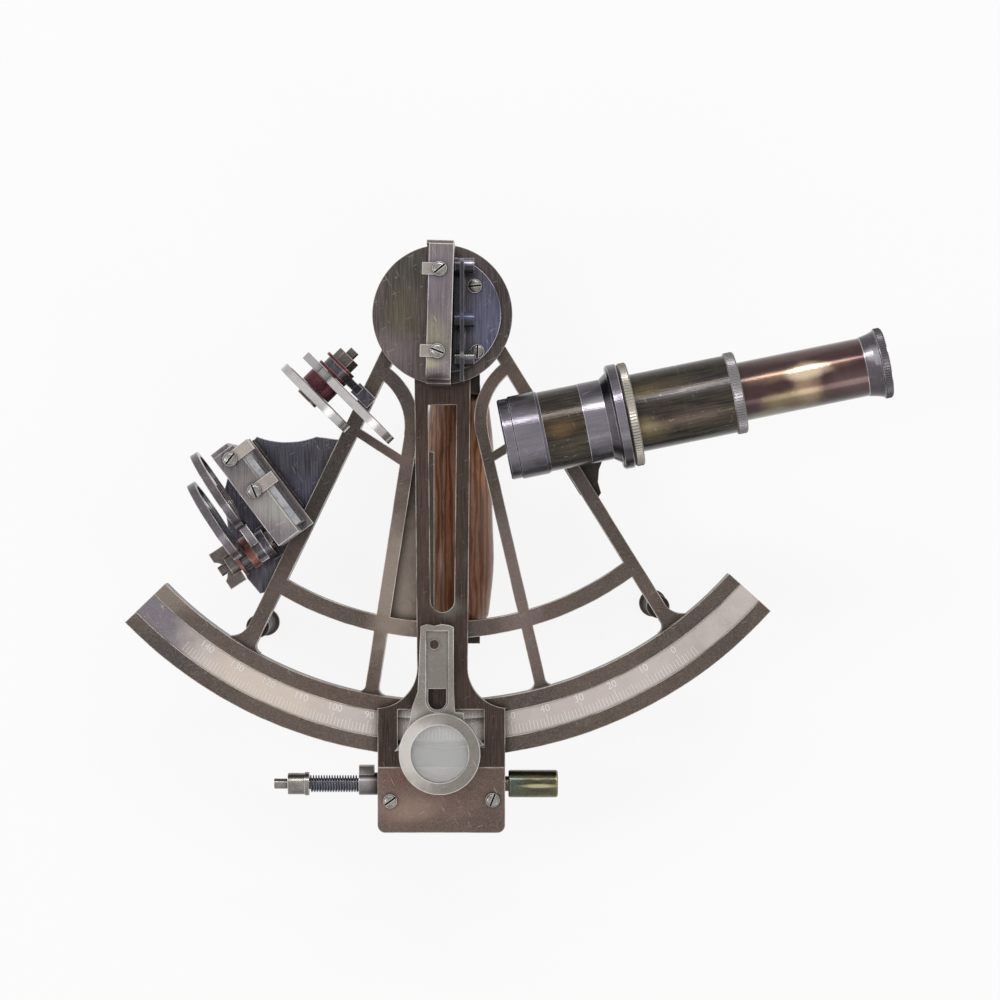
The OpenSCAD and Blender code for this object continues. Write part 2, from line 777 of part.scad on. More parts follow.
// Telescope: every length is measured along its axis from the hood's face
scope_at = [24, -49.1];
brass_end = 31.3;
band_end = 39.8;
bevel_end = 42.7;
flange_end = 47.6;
ring_end = 51;
tube_ring_end = 92;
tube_bore_r = 14;
collar_lip = 2.6;
guide_low = 76;
cup_r0 = 11.4;
cup_r1 = 13.2;
cup_l = 9;

// Turned tube wall from inner radius r0 to outer radius r1 between a and b along the axis
module sleeve(a, b, r0, r1) {
    at_scope(a) difference() {
        cylinder(r = r1, h = b - a);
        translate([0, 0, -cut]) cylinder(r = r0, h = b - a + 2 * cut);
    }
}

module objective_hood() {
    color(silver) at_scope(0) rotate_extrude($fn = 96) difference() {
        polygon([
            [tube_bore_r - 0.6, 0], [hood_r - 1, 0], [hood_r - 0.5, 0.5], [hood_r - 0.5, 4],
            [hood_r, 4.4], [hood_r, hood_l - 1.2], [hood_r - 0.6, hood_l], [tube_bore_r - 0.6, hood_l]
        ]);
        translate([tube_bore_r - cut, 8]) square([cut + 0.2, hood_l]);
    }
}
module objective_lens() {
    dome = 26;
    color(glass) at_scope(5) intersection() {
        cylinder(r = tube_bore_r - 0.6, h = 4.6);
        translate([0, 0, dome]) sphere(r = dome, $fn = 96);
    }
}

module telescope_tube() {
    color(old_brass) at_scope(hood_l) rotate_extrude($fn = 96) difference() {
        polygon([
            [tube_bore_r, 0], [tube_r + 0.4, 0], [tube_r + 0.4, brass_end - hood_l],
            [tube_r, brass_end - hood_l], [tube_r, tube_end - hood_l],
            [draw_r + fit_gap, tube_end - hood_l], [draw_r + fit_gap, guide_low + 8 - hood_l],
            [tube_bore_r, guide_low + 8 - hood_l]
        ]);
        translate([tube_r - 0.1, (ring_end + tube_end) / 2 - hood_l]) square([cut, 0.4]);
    }
}

// Collar: a stepped ring about the tube with the stem that slides in the bracket's socket
module telescope_collar() {
    color(silver) {
        at_scope(brass_end) rotate_extrude($fn = 96) polygon([
            [tube_r, 0], [tube_r + 0.5, 0], [tube_r + 0.5, band_end - brass_end],
            [tube_r + collar_lip, bevel_end - brass_end], [flange_r - 0.8, bevel_end - brass_end],
            [flange_r, bevel_end - brass_end + 0.8], [flange_r, flange_end - brass_end - 0.8],
            [flange_r - 0.8, flange_end - brass_end], [tube_r, flange_end - brass_end]
        ]);
        difference() {
            translate(lift(stem_at, stem_low_z)) rotate(scope_deg)
                translate([-stem_l / 2, -stem_w / 2, 0])
                    cube([stem_l, stem_w, scope_z - tube_r - 1 - stem_low_z]);
            at_scope(brass_end) cylinder(r = tube_r + 0.2, h = flange_end);
            at_scope(flange_end - fit_gap) cylinder(r = flange_r + side_gap, h = stem_l);
            translate(lift(stem_at, stem_low_z - cut))
                cylinder(r = rise_screw_r + fit_gap, h = 22);
        }
    }
}
module collar_ring() {
    color(old_brass) sleeve(flange_end, ring_end, tube_r, flange_r - 0.3);
}
module tube_ring() {
    color(silver) sleeve(tube_end, tube_ring_end, draw_r + fit_gap, tube_r + 0.7);
}

module draw_tube() {
    color(maroon) at_scope(guide_low - 4) rotate_extrude($fn = 96) polygon([
        [draw_r - 1.2, 0], [tube_bore_r - fit_gap, 0], [tube_bore_r - fit_gap, 4], [draw_r, 4],
        [draw_r, draw_end - guide_low + 4], [draw_r - 1.2, draw_end - guide_low + 4]
    ]);
}
module eyepiece_cup() {
    color(steel) at_scope(draw_end) rotate_extrude($fn = 96) polygon([
        [5, 0], [cup_r0, 0], [cup_r0 + 0.7, 3.5], [cup_r1 - 0.4, 5.6], [cup_r1, 6],
        [cup_r1, cup_l], [cup_r1 - 1.6, cup_l], [8, 4], [5, 4]
    ]);
}
module eye_lens() {
    dome = 14;
    color(glass) at_scope(draw_end + 4) intersection() {
        cylinder(r = 8, h = 2.8);
        translate([0, 0, 2.8 - dome]) sphere(r = dome, $fn = 96);
    }
}

// Shades: each turns on its stack's pin. Along the pin, s is the distance from the pin's own point.
index_pin_at = [-41.1, -22.2];
index_pin_z = 78;
index_axis = [sqrt(0.5), sqrt(0.5)];
index_side = [sqrt(0.5), -sqrt(0.5)];
index_near_s = -3.8;
index_far_s = index_near_s - shade_t - index_washer_t - 0.2;
index_near_deg = 26.7;
index_far_deg = 80.5;
horizon_pin_at = [-74.1, -92.2];
horizon_pin_z = 72;
horizon_pin_turn = 33;
horizon_axis = [-cos(horizon_pin_turn), -sin(horizon_pin_turn)];
horizon_side = [-sin(horizon_pin_turn), cos(horizon_pin_turn)];
horizon_near_s = -3.3;
horizon_far_s = horizon_near_s + shade_t + horizon_washer_t + 0.2;
horizon_near_deg = 30;
horizon_far_deg = 56.6;
pin_r = 2;
pin_gap = 0.1;
ear_r = 4.6;
rim_w = 2.2;
rim_groove = 0.8;
index_tail_l = 12.5;
horizon_tail_l = 5;
washer_r = 6.8;
washer_t = 1.2;
upright_w = 3.2;

// Children drawn with +Z along the pin and +X to the side that the shade lies on, raised by a turn
module on_pin(at, z, axis, side, s, raised = 0) {
    x = [cos(raised) * side[0], cos(raised) * side[1], sin(raised)];
    w = [axis[0], axis[1], 0];
    y = cross(w, x);
    p = at + s * axis;
    multmatrix([
        [x[0], y[0], w[0], p[0]], [x[1], y[1], w[1], p[1]], [x[2], y[2], w[2], z], [0, 0, 0, 1]
    ]) children();
}
module on_index_pin(s, raised = 0) {
    on_pin(index_pin_at, index_pin_z, index_axis, index_side, s, raised) children();
}
module on_horizon_pin(s, raised = 0) {
    on_pin(horizon_pin_at, horizon_pin_z, horizon_axis, horizon_side, s, raised) children();
}

module shade_rim(reach, tail_l) {
    tail_w = 6;
    difference() {
        union() {
            translate([reach, 0, -shade_t / 2]) cylinder(r = shade_r, h = shade_t, $fn = 96);
            translate([0, 0, -shade_t / 2]) cylinder(r = ear_r, h = shade_t);
            translate([-tail_l, -tail_w / 2, -shade_t / 2])
                cube([tail_l + reach - shade_r + rim_w, tail_w, shade_t]);
        }
        translate([reach, 0, -shade_t / 2 - cut])
            cylinder(r = shade_r - rim_w, h = shade_t + 2 * cut, $fn = 96);
        translate([reach, 0, -shade_glass_t / 2])
            cylinder(r = shade_r - rim_w + rim_groove, h = shade_glass_t, $fn = 96);
        translate([0, 0, -shade_t / 2 - cut]) cylinder(r = pin_r + fit_gap, h = shade_t + 2 * cut);
    }
}
module shade_glass(reach) {
    translate([reach, 0, -shade_glass_t / 2])
        cylinder(r = shade_r - rim_w + rim_groove - fit_gap, h = shade_glass_t, $fn = 96);
}

module index_shade_near() {
    color(silver) on_index_pin(index_near_s, index_near_deg)
        shade_rim(index_shade_reach, index_tail_l);
}
module index_glass_near() {
    color(maroon) on_index_pin(index_near_s, index_near_deg) shade_glass(index_shade_reach);
}
module index_shade_far() {
    color(silver) on_index_pin(index_far_s, index_far_deg)
        shade_rim(index_shade_reach, ear_r);
}
module index_glass_far() {
    color(blue_black) on_index_pin(index_far_s, index_far_deg) shade_glass(index_shade_reach);
}
module horizon_shade_near() {
    color(silver) on_horizon_pin(horizon_near_s, horizon_near_deg)
        shade_rim(horizon_shade_reach, horizon_tail_l);
}
module horizon_glass_near() {
    color(maroon) on_horizon_pin(horizon_near_s, horizon_near_deg) shade_glass(horizon_shade_reach);
}
module horizon_shade_far() {
    color(old_brass) on_horizon_pin(horizon_far_s, horizon_far_deg)
        shade_rim(horizon_shade_reach, horizon_tail_l);
}
module horizon_glass_far() {
    color(blue_black) on_horizon_pin(horizon_far_s, horizon_far_deg) shade_glass(horizon_shade_reach);
}

// A washer on a pin between a and b
module pin_washer(a, b) {
    difference() {
        translate([0, 0, a]) cylinder(r = washer_r, h = b - a);
        translate([0, 0, a - cut]) cylinder(r = pin_r, h = b - a + 2 * cut);
    }
}

index_ear_s = index_near_s + shade_t / 2 + 2 * pin_gap + washer_t;
index_nut_s = index_ear_s + upright_w + washer_t;
module index_shade_washers() {
    color(copper) on_index_pin(0) {
        pin_washer(index_far_s + shade_t / 2 + pin_gap, index_near_s - shade_t / 2 - pin_gap);
        pin_washer(index_ear_s - washer_t, index_ear_s);
        pin_washer(index_nut_s - washer_t, index_nut_s);
    }
}

horizon_nut_s = horizon_far_s + shade_t / 2 + 2 * pin_gap + washer_t;
module horizon_shade_washers() {
    color(copper) on_horizon_pin(0) {
        pin_washer(horizon_near_s + shade_t / 2 + pin_gap, horizon_far_s - shade_t / 2 - pin_gap);
        pin_washer(horizon_nut_s - washer_t, horizon_nut_s);
    }
}

// Pin, slotted head and hexagon nut of the index shades
module index_shade_nut() {
    head_s = index_far_s - shade_t / 2 - pin_gap;
    nut_t = 4.2;
    color(old_brass) on_index_pin(0) {
        translate([0, 0, head_s]) cylinder(r = pin_r, h = index_nut_s + nut_t + 3 - head_s);
        translate([0, 0, index_nut_s]) cylinder(r = 4.8, h = nut_t, $fn = 6);
        translate([0, 0, head_s]) mirror([0, 0, 1]) slotted_screw(0.1, r = ear_r, turn = 30);
    }
}

// Pin and wing nut of the horizon shades
horizon_ear_s = horizon_near_s - shade_t / 2 - pin_gap - upright_w;
module horizon_shade_nut() {
    nut_t = 4;
    wing_l = 8;
    color(old_brass) on_horizon_pin(0) {
        translate([0, 0, horizon_ear_s]) cylinder(r = pin_r, h = horizon_nut_s + nut_t + 4 - horizon_ear_s);
        translate([0, 0, horizon_nut_s]) cylinder(r = 4, h = nut_t);
        translate([0, 0, horizon_ear_s]) mirror([0, 0, 1]) slotted_screw(0.1, r = 3.6, turn = 60);
        difference() {
            translate([-wing_l, -1.1, horizon_nut_s + 1]) cube([2 * wing_l, 2.2, nut_t + 3]);
            translate([0, 2, horizon_nut_s + nut_t + 6]) rotate([90, 0, 0]) cylinder(r = 4.6, h = 4);
        }
    }
}

// Upright from the outer left leg to the index shades' pin. On a pin's plane +Y points down.
index_foot_x = 9;
index_foot_l = 9;
foot_t = 2.2;
module index_shade_bracket() {
    low = index_pin_z - leg_front_z;
    color(blue_black) on_index_pin(index_ear_s) {
        linear_extrude(upright_w) difference() {
            union() {
                circle(r = 5.4);
                polygon([
                    [-5, 2], [5, 2], [9.5, 8], [11.5, low - foot_t],
                    [index_foot_x + index_foot_l, low - foot_t], [index_foot_x + index_foot_l, low],
                    [index_foot_x - 2, low], [2.5, 11]
                ]);
            }
            circle(r = pin_r + fit_gap);
        }
        translate([index_foot_x, low - foot_t, -1]) cube([index_foot_l, foot_t, upright_w + 2]);
    }
}

// Upright on the horizon bracket that holds the horizon shades' pin
module horizon_shade_bracket() {
    low = horizon_pin_z - frame_back_z;
    half_w = 5.6;
    spread = 1.5;
    color(blue_black) on_horizon_pin(horizon_ear_s) {
        linear_extrude(upright_w) difference() {
            union() {
                circle(r = half_w);
                polygon([
                    [-half_w, 0], [half_w, 0], [half_w + spread, low], [-half_w - spread, low]
                ]);
            }
            circle(r = pin_r + fit_gap);
        }
        translate([-half_w - spread, low - foot_t, -2])
            cube([2 * (half_w + spread), foot_t, upright_w + 2]);
    }
}

// Index arm: head, slotted bar, lower block with the reading window, and the box below the block
// in which the tangent screw turns
arm_shoulder_y = limb_inner_r - 13.5;
block_left = -25.2;
block_top_y = limb_inner_r + 1.5;
block_low_y = limb_outer_r + 3.6;
window_left = -17.4;
window_top_y = limb_inner_r + 3;
window_low_y = limb_outer_r - 4.4;
arm_flare_r = 16;
slot_top_y = 35;
slot_low_y = 111;
box_low_y = screw_y + 18.3;
box_corner_r = 3;
box_overlap = 2.5;
box_wall = 4;
box_side = 7.6;
box_floor_z = 48;
cover_z = arm_z + 1.5;
cover_top_z = arm_top_z + 0.6;
screw_z = 56;
collar_r = 4.4;
collar_l = 7.6;
cover_screw_places = [[-20.3, -189], [19.5, -188.6]];
magnifier_post = [-3, -loupe_hinge_y - 0.8];
post_r = 3.5;
post_top_z = 72;
post_pin_r = 2;
magnifier_t = 2.4;

module arm_outline() {
    difference() {
        union() {
            circle(r = hub_r);
            polygon([
                [-arm_top_w / 2, 0], [arm_top_w / 2, 0],
                [arm_low_w / 2, -arm_shoulder_y - 2], [-arm_low_w / 2, -arm_shoulder_y - 2]
            ]);
            translate([block_left, -block_low_y]) square([block_w, block_low_y - block_top_y]);
            translate([-arm_low_w / 2 - arm_flare_r + 0.6, -block_top_y - cut])
                square([arm_low_w + 2 * arm_flare_r - 1.2, arm_flare_r]);
        }
        for (side = [-1, 1])
            translate([side * (arm_low_w / 2 + arm_flare_r), -arm_shoulder_y]) circle(r = arm_flare_r);
        polygon([
            [-slot_top_w / 2, -slot_top_y], [slot_top_w / 2, -slot_top_y],
            [slot_low_w / 2, -slot_low_y], [-slot_low_w / 2, -slot_low_y]
        ]);
        translate([0, -slot_low_y]) circle(r = slot_low_w / 2);
        translate([window_left, -window_low_y]) square([window_w, window_low_y - window_top_y]);
        circle(r = stud_r);
    }
}

// Outline of the box and its cover, with rounded lower corners
module box_outline() {
    translate([block_left, -box_low_y + box_corner_r])
        square([block_w, box_low_y - block_low_y - box_corner_r]);
    translate([block_left + box_corner_r, -box_low_y])
        square([block_w - 2 * box_corner_r, box_corner_r + cut]);
    for (x = [block_left + box_corner_r, block_left + block_w - box_corner_r])
        translate([x, -box_low_y + box_corner_r]) circle(r = box_corner_r);
}

module index_arm() {
    color(bronze) difference() {
        union() {
            translate([0, 0, arm_z]) linear_extrude(arm_t) arm_outline();
            translate([0, 0, box_floor_z]) linear_extrude(cover_z - box_floor_z) box_outline();
            translate([block_left, -block_low_y - cut, box_floor_z])
                cube([block_w, cut + box_overlap, cover_z - box_floor_z]);
            translate([block_left - collar_l, -screw_y, screw_z]) rotate([0, 90, 0])
                cylinder(r = collar_r, h = collar_l + cut);
            translate([block_left - collar_l, -screw_y + 2, screw_z - 2.6]) cube([6, 5.2, 5.2]);
            translate(lift(magnifier_post, arm_top_z)) cylinder(r = post_r, h = post_top_z - arm_top_z);
            translate(lift(magnifier_post, post_top_z - cut))
                cylinder(r = post_pin_r, h = magnifier_t + cut + fit_gap);
        }
        translate([block_left + box_side, -box_low_y + box_wall, box_floor_z - cut])
            cube([
                block_w - 2 * box_side, box_low_y - block_low_y - box_wall - 1.4,
                cover_z - box_floor_z + 2 * cut
            ]);
        translate([block_left + box_side, -block_low_y - 2, box_floor_z - cut])
            cube([block_w - 2 * box_side, 8, arm_z - box_floor_z + cut]);
        translate([block_left - collar_l - cut, -screw_y, screw_z]) rotate([0, 90, 0])
            cylinder(r = screw_r + fit_gap, h = block_w + collar_l + 2 * cut);
        translate([block_left - collar_l - cut, -screw_y, screw_z - 0.5]) cube([7, 12, cut]);
        for (p = cover_screw_places) translate(lift(p, cover_z)) screw_hole(6);
    }
}

module arm_disc() {
    color(dark_bronze) translate([0, 0, arm_top_z]) difference() {
        cylinder(r = disc_r, h = disc_t, $fn = 128);
        translate([0, 0, -cut]) cylinder(r = stud_r, h = cut);
    }
}

// Cover over the tangent screw's box
module tangent_cover() {
    color(red_brown) difference() {
        translate([0, 0, cover_z]) linear_extrude(cover_top_z - cover_z) box_outline();
        for (p = cover_screw_places) translate(lift(p, cover_top_z)) screw_hole(arm_t + 2);
    }
}

// Silvered vernier in the upper part of the window
vernier_t = 1.4;
vernier_r = 157.5;
module vernier_plate() {
    color(silver) translate([0, 0, arm_z]) linear_extrude(vernier_t) intersection() {
        translate([window_left, -window_low_y]) square([window_w, window_low_y - window_top_y]);
        circle(r = vernier_r, $fn = 180);
    }
}

// Tangent screw with its outer washer and end nut. Lengths run along X.
screw_end_x = -66;
end_nut_x = -60.6;
end_washer_x = -54;
end_washer_t = 1.7;
spring_low_x = end_washer_x + end_washer_t;
spring_high_x = block_left - collar_l;
spring_shaft_r = 2.2;
knob_x = 25.7;

module along_screw(x) {
    translate([x, -screw_y, screw_z]) rotate([0, 90, 0]) children();
}

module tangent_screw() {
    color(steel) {
        along_screw(screw_end_x) cylinder(r = 2, h = end_nut_x - screw_end_x);
        along_screw(end_nut_x) cylinder(r = 4.2, h = end_washer_x - end_nut_x);
        along_screw(end_washer_x) cylinder(r = 4.6, h = end_washer_t);
        along_screw(spring_low_x) cylinder(r = spring_shaft_r, h = spring_high_x - spring_low_x);
        along_screw(spring_high_x) cylinder(r = screw_r, h = knob_x - spring_high_x);
        along_screw(knob_x) cylinder(r = shank_r, h = knob_l / 2);
    }
}

module tangent_knob() {
    edge = 0.5;
    color(old_brass) along_screw(knob_x) rotate_extrude() polygon([
        [shank_r, 0], [knob_r - edge, 0], [knob_r, edge], [knob_r, knob_l - edge],
        [knob_r - edge, knob_l], [0, knob_l], [0, knob_l / 2], [shank_r, knob_l / 2]
    ]);
}

// Take-up spring: one unbroken round wire wound about the screw's shaft
wire_sides = 6;
wire_rings = 8;
coil_r = spring_r - spring_wire_r;
coil_rise = (spring_high_x - spring_low_x - 2 * spring_wire_r - 2 * fit_gap) / spring_turns;
coil_count = spring_turns * wire_rings + 1;
function coil_at(i) =
    let (t = 360 * i / wire_rings)
    [
        spring_low_x + fit_gap + spring_wire_r + coil_rise * i / wire_rings,
        coil_r * cos(t), coil_r * sin(t)
    ];
function wire_point(i, k) =
    let (t = 360 * i / wire_rings, a = 360 * k / wire_sides,
        lean = atan2(coil_rise, 2 * PI * coil_r),
        out = [0, cos(t), sin(t)], side = [cos(lean), sin(lean) * sin(t), -sin(lean) * cos(t)])
    coil_at(i) + spring_wire_r * (cos(a) * out + sin(a) * side);
wire_points = [for (i = [0 : coil_count - 1], k = [0 : wire_sides - 1]) wire_point(i, k)];
// Least distance between wire points more than half a turn apart
spring_gap = min([
    for (i = [0 : 2 * wire_rings], j = [i + wire_rings / 2 : 3 * wire_rings],
        k = [0 : wire_sides - 1], m = [0 : wire_sides - 1])
        norm(wire_points[i * wire_sides + k] - wire_points[j * wire_sides + m])
]);
echo(spring_gap = spring_gap);

module tangent_spring() {
    walls = [for (i = [0 : coil_count - 2], k = [0 : wire_sides - 1])
        let (n = (k + 1) % wire_sides, a = i * wire_sides)
        each [[a + k, a + n, a + wire_sides + k], [a + n, a + wire_sides + n, a + wire_sides + k]]];
    last = (coil_count - 1) * wire_sides;
    ends = [
        [for (k = [0 : wire_sides - 1]) wire_sides - 1 - k],
        [for (k = [0 : wire_sides - 1]) last + k]
    ];
    color(blue_black) translate([0, -screw_y, screw_z]) polyhedron(wire_points, concat(walls, ends));
}

// Clamp carriage: a nut on the tangent screw, a lip in the arc's groove and a jaw behind the arc
carriage_turn = 3.2;
carriage_w = 12;
jaw_w = 18;
jaw_top_z = frame_back_z - 0.4;
jaw_low_z = 45.5;
jaw_in_y = limb_inner_r + 2.5;
jaw_out_y = screw_y - 0.1;
block_in_y = screw_y - 5.1;
block_out_y = screw_y + 4.9;
lip_out_r = screw_y - 2.1;
clamp_y = (limb_inner_r + limb_outer_r) / 2 + 0.55;
clamp_r = 2;
module clamp_carriage() {
    lip_t = groove_w - 2 * side_gap;
    color(dark_bronze) difference() {
        union() {
            translate([-carriage_w / 2, -block_out_y, jaw_low_z])
                cube([carriage_w, block_out_y - block_in_y, limb_front_z - jaw_low_z - 0.4]);
            translate([0, 0, groove_z - lip_t / 2]) linear_extrude(lip_t)
                band(limb_outer_r - groove_depth + side_gap, lip_out_r, -carriage_turn, carriage_turn);
            translate([-jaw_w / 2, -jaw_out_y, jaw_low_z])
                cube([jaw_w, jaw_out_y - jaw_in_y, jaw_top_z - jaw_low_z]);
        }
        translate([-carriage_w, -screw_y, screw_z]) rotate([0, 90, 0])
            cylinder(r = screw_r + side_gap, h = 2 * carriage_w);
        translate([0, -clamp_y, jaw_low_z - cut]) cylinder(r = clamp_r + fit_gap, h = 10);
    }
}

module clamp_screw() {
    head_low = 34;
    head_high = 42;
    grip_r = 6;
    color(old_brass) translate([0, -clamp_y, 0]) {
        translate([0, 0, head_low]) rotate_extrude() polygon([
            [0, 0], [grip_r - 0.6, 0], [grip_r, 0.6], [grip_r, head_high - head_low - 0.6],
            [grip_r - 0.6, head_high - head_low], [0, head_high - head_low]
        ]);
        translate([0, 0, head_high - cut]) cylinder(r = clamp_r, h = jaw_top_z + 0.2 - head_high + cut);
    }
}

// Magnifier: an arm on its own hinge with a ring over the window
loupe_x = -0.9;
ring_low_z = 70.5;
ring_top_z = 77;
lens_t = 4;
module magnifier_outline() {
    polygon([
        [-8.3, -120.8], [-6, -120], [-3, -120.6], [0, -120], [3, -120.4], [4.5, -121.2],
        [4.6, -146], [5, -154], [8.4, -154.2], [8.8, -159], [11.5, -161], [16.2, -166.6],
        [14.2, -167.4], [14.2, -169], [-14.6, -169.6], [-15.2, -168.6], [-18.3, -169.1],
        [-15.4, -165], [-12.6, -158], [-11.6, -152], [-9.4, -146]
    ]);
}
module magnifier_arm() {
    well_r = 4.3;
    well = [-1.9, -149.6];
    color(steel) difference() {
        union() {
            translate([0, 0, post_top_z + fit_gap]) linear_extrude(magnifier_t) magnifier_outline();
            translate([loupe_x, -loupe_y, ring_low_z])
                cylinder(r = loupe_r, h = ring_top_z - ring_low_z, $fn = 96);
        }
        translate([loupe_x, -loupe_y, ring_low_z - cut])
            cylinder(r = loupe_bore_r, h = ring_top_z - ring_low_z + 2 * cut, $fn = 96);
        translate(lift(magnifier_post, post_top_z - cut))
            cylinder(r = post_pin_r + fit_gap, h = magnifier_t + 2 * cut);
        translate([0, 0, post_top_z + magnifier_t - 0.9]) linear_extrude(2 * cut) union() {
            translate(well) circle(r = well_r);
            translate([well[0] - well_r, well[1]]) square([2 * well_r, 27]);
        }
        translate([0, 0, post_top_z - cut]) linear_extrude(magnifier_t + 2 * cut) union() {
            translate(well) circle(r = well_r - 0.8);
            translate([well[0] - well_r + 0.8, well[1]]) square([2 * (well_r - 0.8), 4.6]);
        }
        translate([loupe_x, -loupe_y, ring_low_z + 1])
            cylinder(r = loupe_bore_r + 0.8, h = lens_t, $fn = 96);
    }
}
module magnifier_lens() {
    color(glass) translate([loupe_x, -loupe_y, ring_low_z + 1])
        cylinder(r = loupe_bore_r + 0.8 - fit_gap, h = lens_t, $fn = 96);
}

limb_frame();
scale_strip();
pivot_bush();
pivot_foot();
left_foot();
right_foot();
handle_grip();
handle_upper_bracket();
handle_lower_bracket();
handle_plate();
handle_screws();
horizon_bracket();
horizon_mirror_base();
horizon_mirror_frame();
horizon_mirror_glass();
horizon_clips();
horizon_clip_screws();
frame_screws();
index_shade_bracket();
index_shade_nut();
index_shade_washers();
index_shade_near();
index_glass_near();
index_shade_far();
index_glass_far();
horizon_shade_bracket();
horizon_shade_nut();
horizon_shade_washers();
horizon_shade_near();
horizon_glass_near();
horizon_shade_far();
horizon_glass_far();
telescope_bracket();
rise_knob();
telescope_collar();
collar_ring();
objective_hood();
objective_lens();
telescope_tube();
tube_ring();
draw_tube();
eyepiece_cup();
eye_lens();
index_arm();
arm_disc();
pivot_journal();
index_mirror_base();
index_mirror_frame();
index_mirror_glass();
index_clips();
arm_screws();
vernier_plate();
tangent_cover();
tangent_screw();
tangent_knob();
tangent_spring();
clamp_carriage();
clamp_screw();
magnifier_arm();
magnifier_lens();
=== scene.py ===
"""Looks of the vernier sextant: finishes, fine pieces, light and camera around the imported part."""

import logging
import math
from collections.abc import Callable
from dataclasses import dataclass, field
from enum import Enum

import bmesh
import bpy
from mathutils import Matrix, Vector


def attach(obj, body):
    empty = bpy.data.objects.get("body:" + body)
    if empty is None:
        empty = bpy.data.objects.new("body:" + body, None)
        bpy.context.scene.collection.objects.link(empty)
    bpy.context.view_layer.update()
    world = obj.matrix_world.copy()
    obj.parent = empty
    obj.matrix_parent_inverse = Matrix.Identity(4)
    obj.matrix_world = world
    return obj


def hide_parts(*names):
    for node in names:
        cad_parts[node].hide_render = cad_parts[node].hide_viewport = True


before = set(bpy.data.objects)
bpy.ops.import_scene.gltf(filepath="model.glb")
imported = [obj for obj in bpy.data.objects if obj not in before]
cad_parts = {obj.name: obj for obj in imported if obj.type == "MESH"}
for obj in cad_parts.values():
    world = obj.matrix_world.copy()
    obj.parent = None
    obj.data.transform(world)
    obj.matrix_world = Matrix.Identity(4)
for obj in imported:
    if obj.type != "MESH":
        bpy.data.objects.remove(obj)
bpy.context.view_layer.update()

LOG = logging.getLogger("sextant")
MM = 0.001
# Colour and reach of the painted shade where pieces meet
CORNER_SHADE_COLOUR = "1b1614"
CORNER_SHADE_REACH = 4 * MM
SLOT_DEPTH = 0.62
TELESCOPE_TURN = 11.5
WHITE = (1.0, 1.0, 1.0, 1.0)
Colour = tuple[float, float, float, float]
Point = tuple[float, float, float]
Socket = bpy.types.NodeSocket
Outputs = bpy.types.NodeOutputs
Tree = bpy.types.NodeTree
Piece = bpy.types.Object


def tone(code: str) -> Colour:
    """Turns a screen colour into the linear colour that a shader takes.

    Args:
        code: Six hexadecimal digits, two each for red, green and blue.

    Returns:
        Linear red, green and blue, and an alpha of 1.
    """
    parts = [int(code[i:i + 2], 16) / 255 for i in (0, 2, 4)]
    red, green, blue = [c / 12.92 if c < 0.04045 else ((c + 0.055) / 1.055) ** 2.4 for c in parts]
    return (red, green, blue, 1.0)


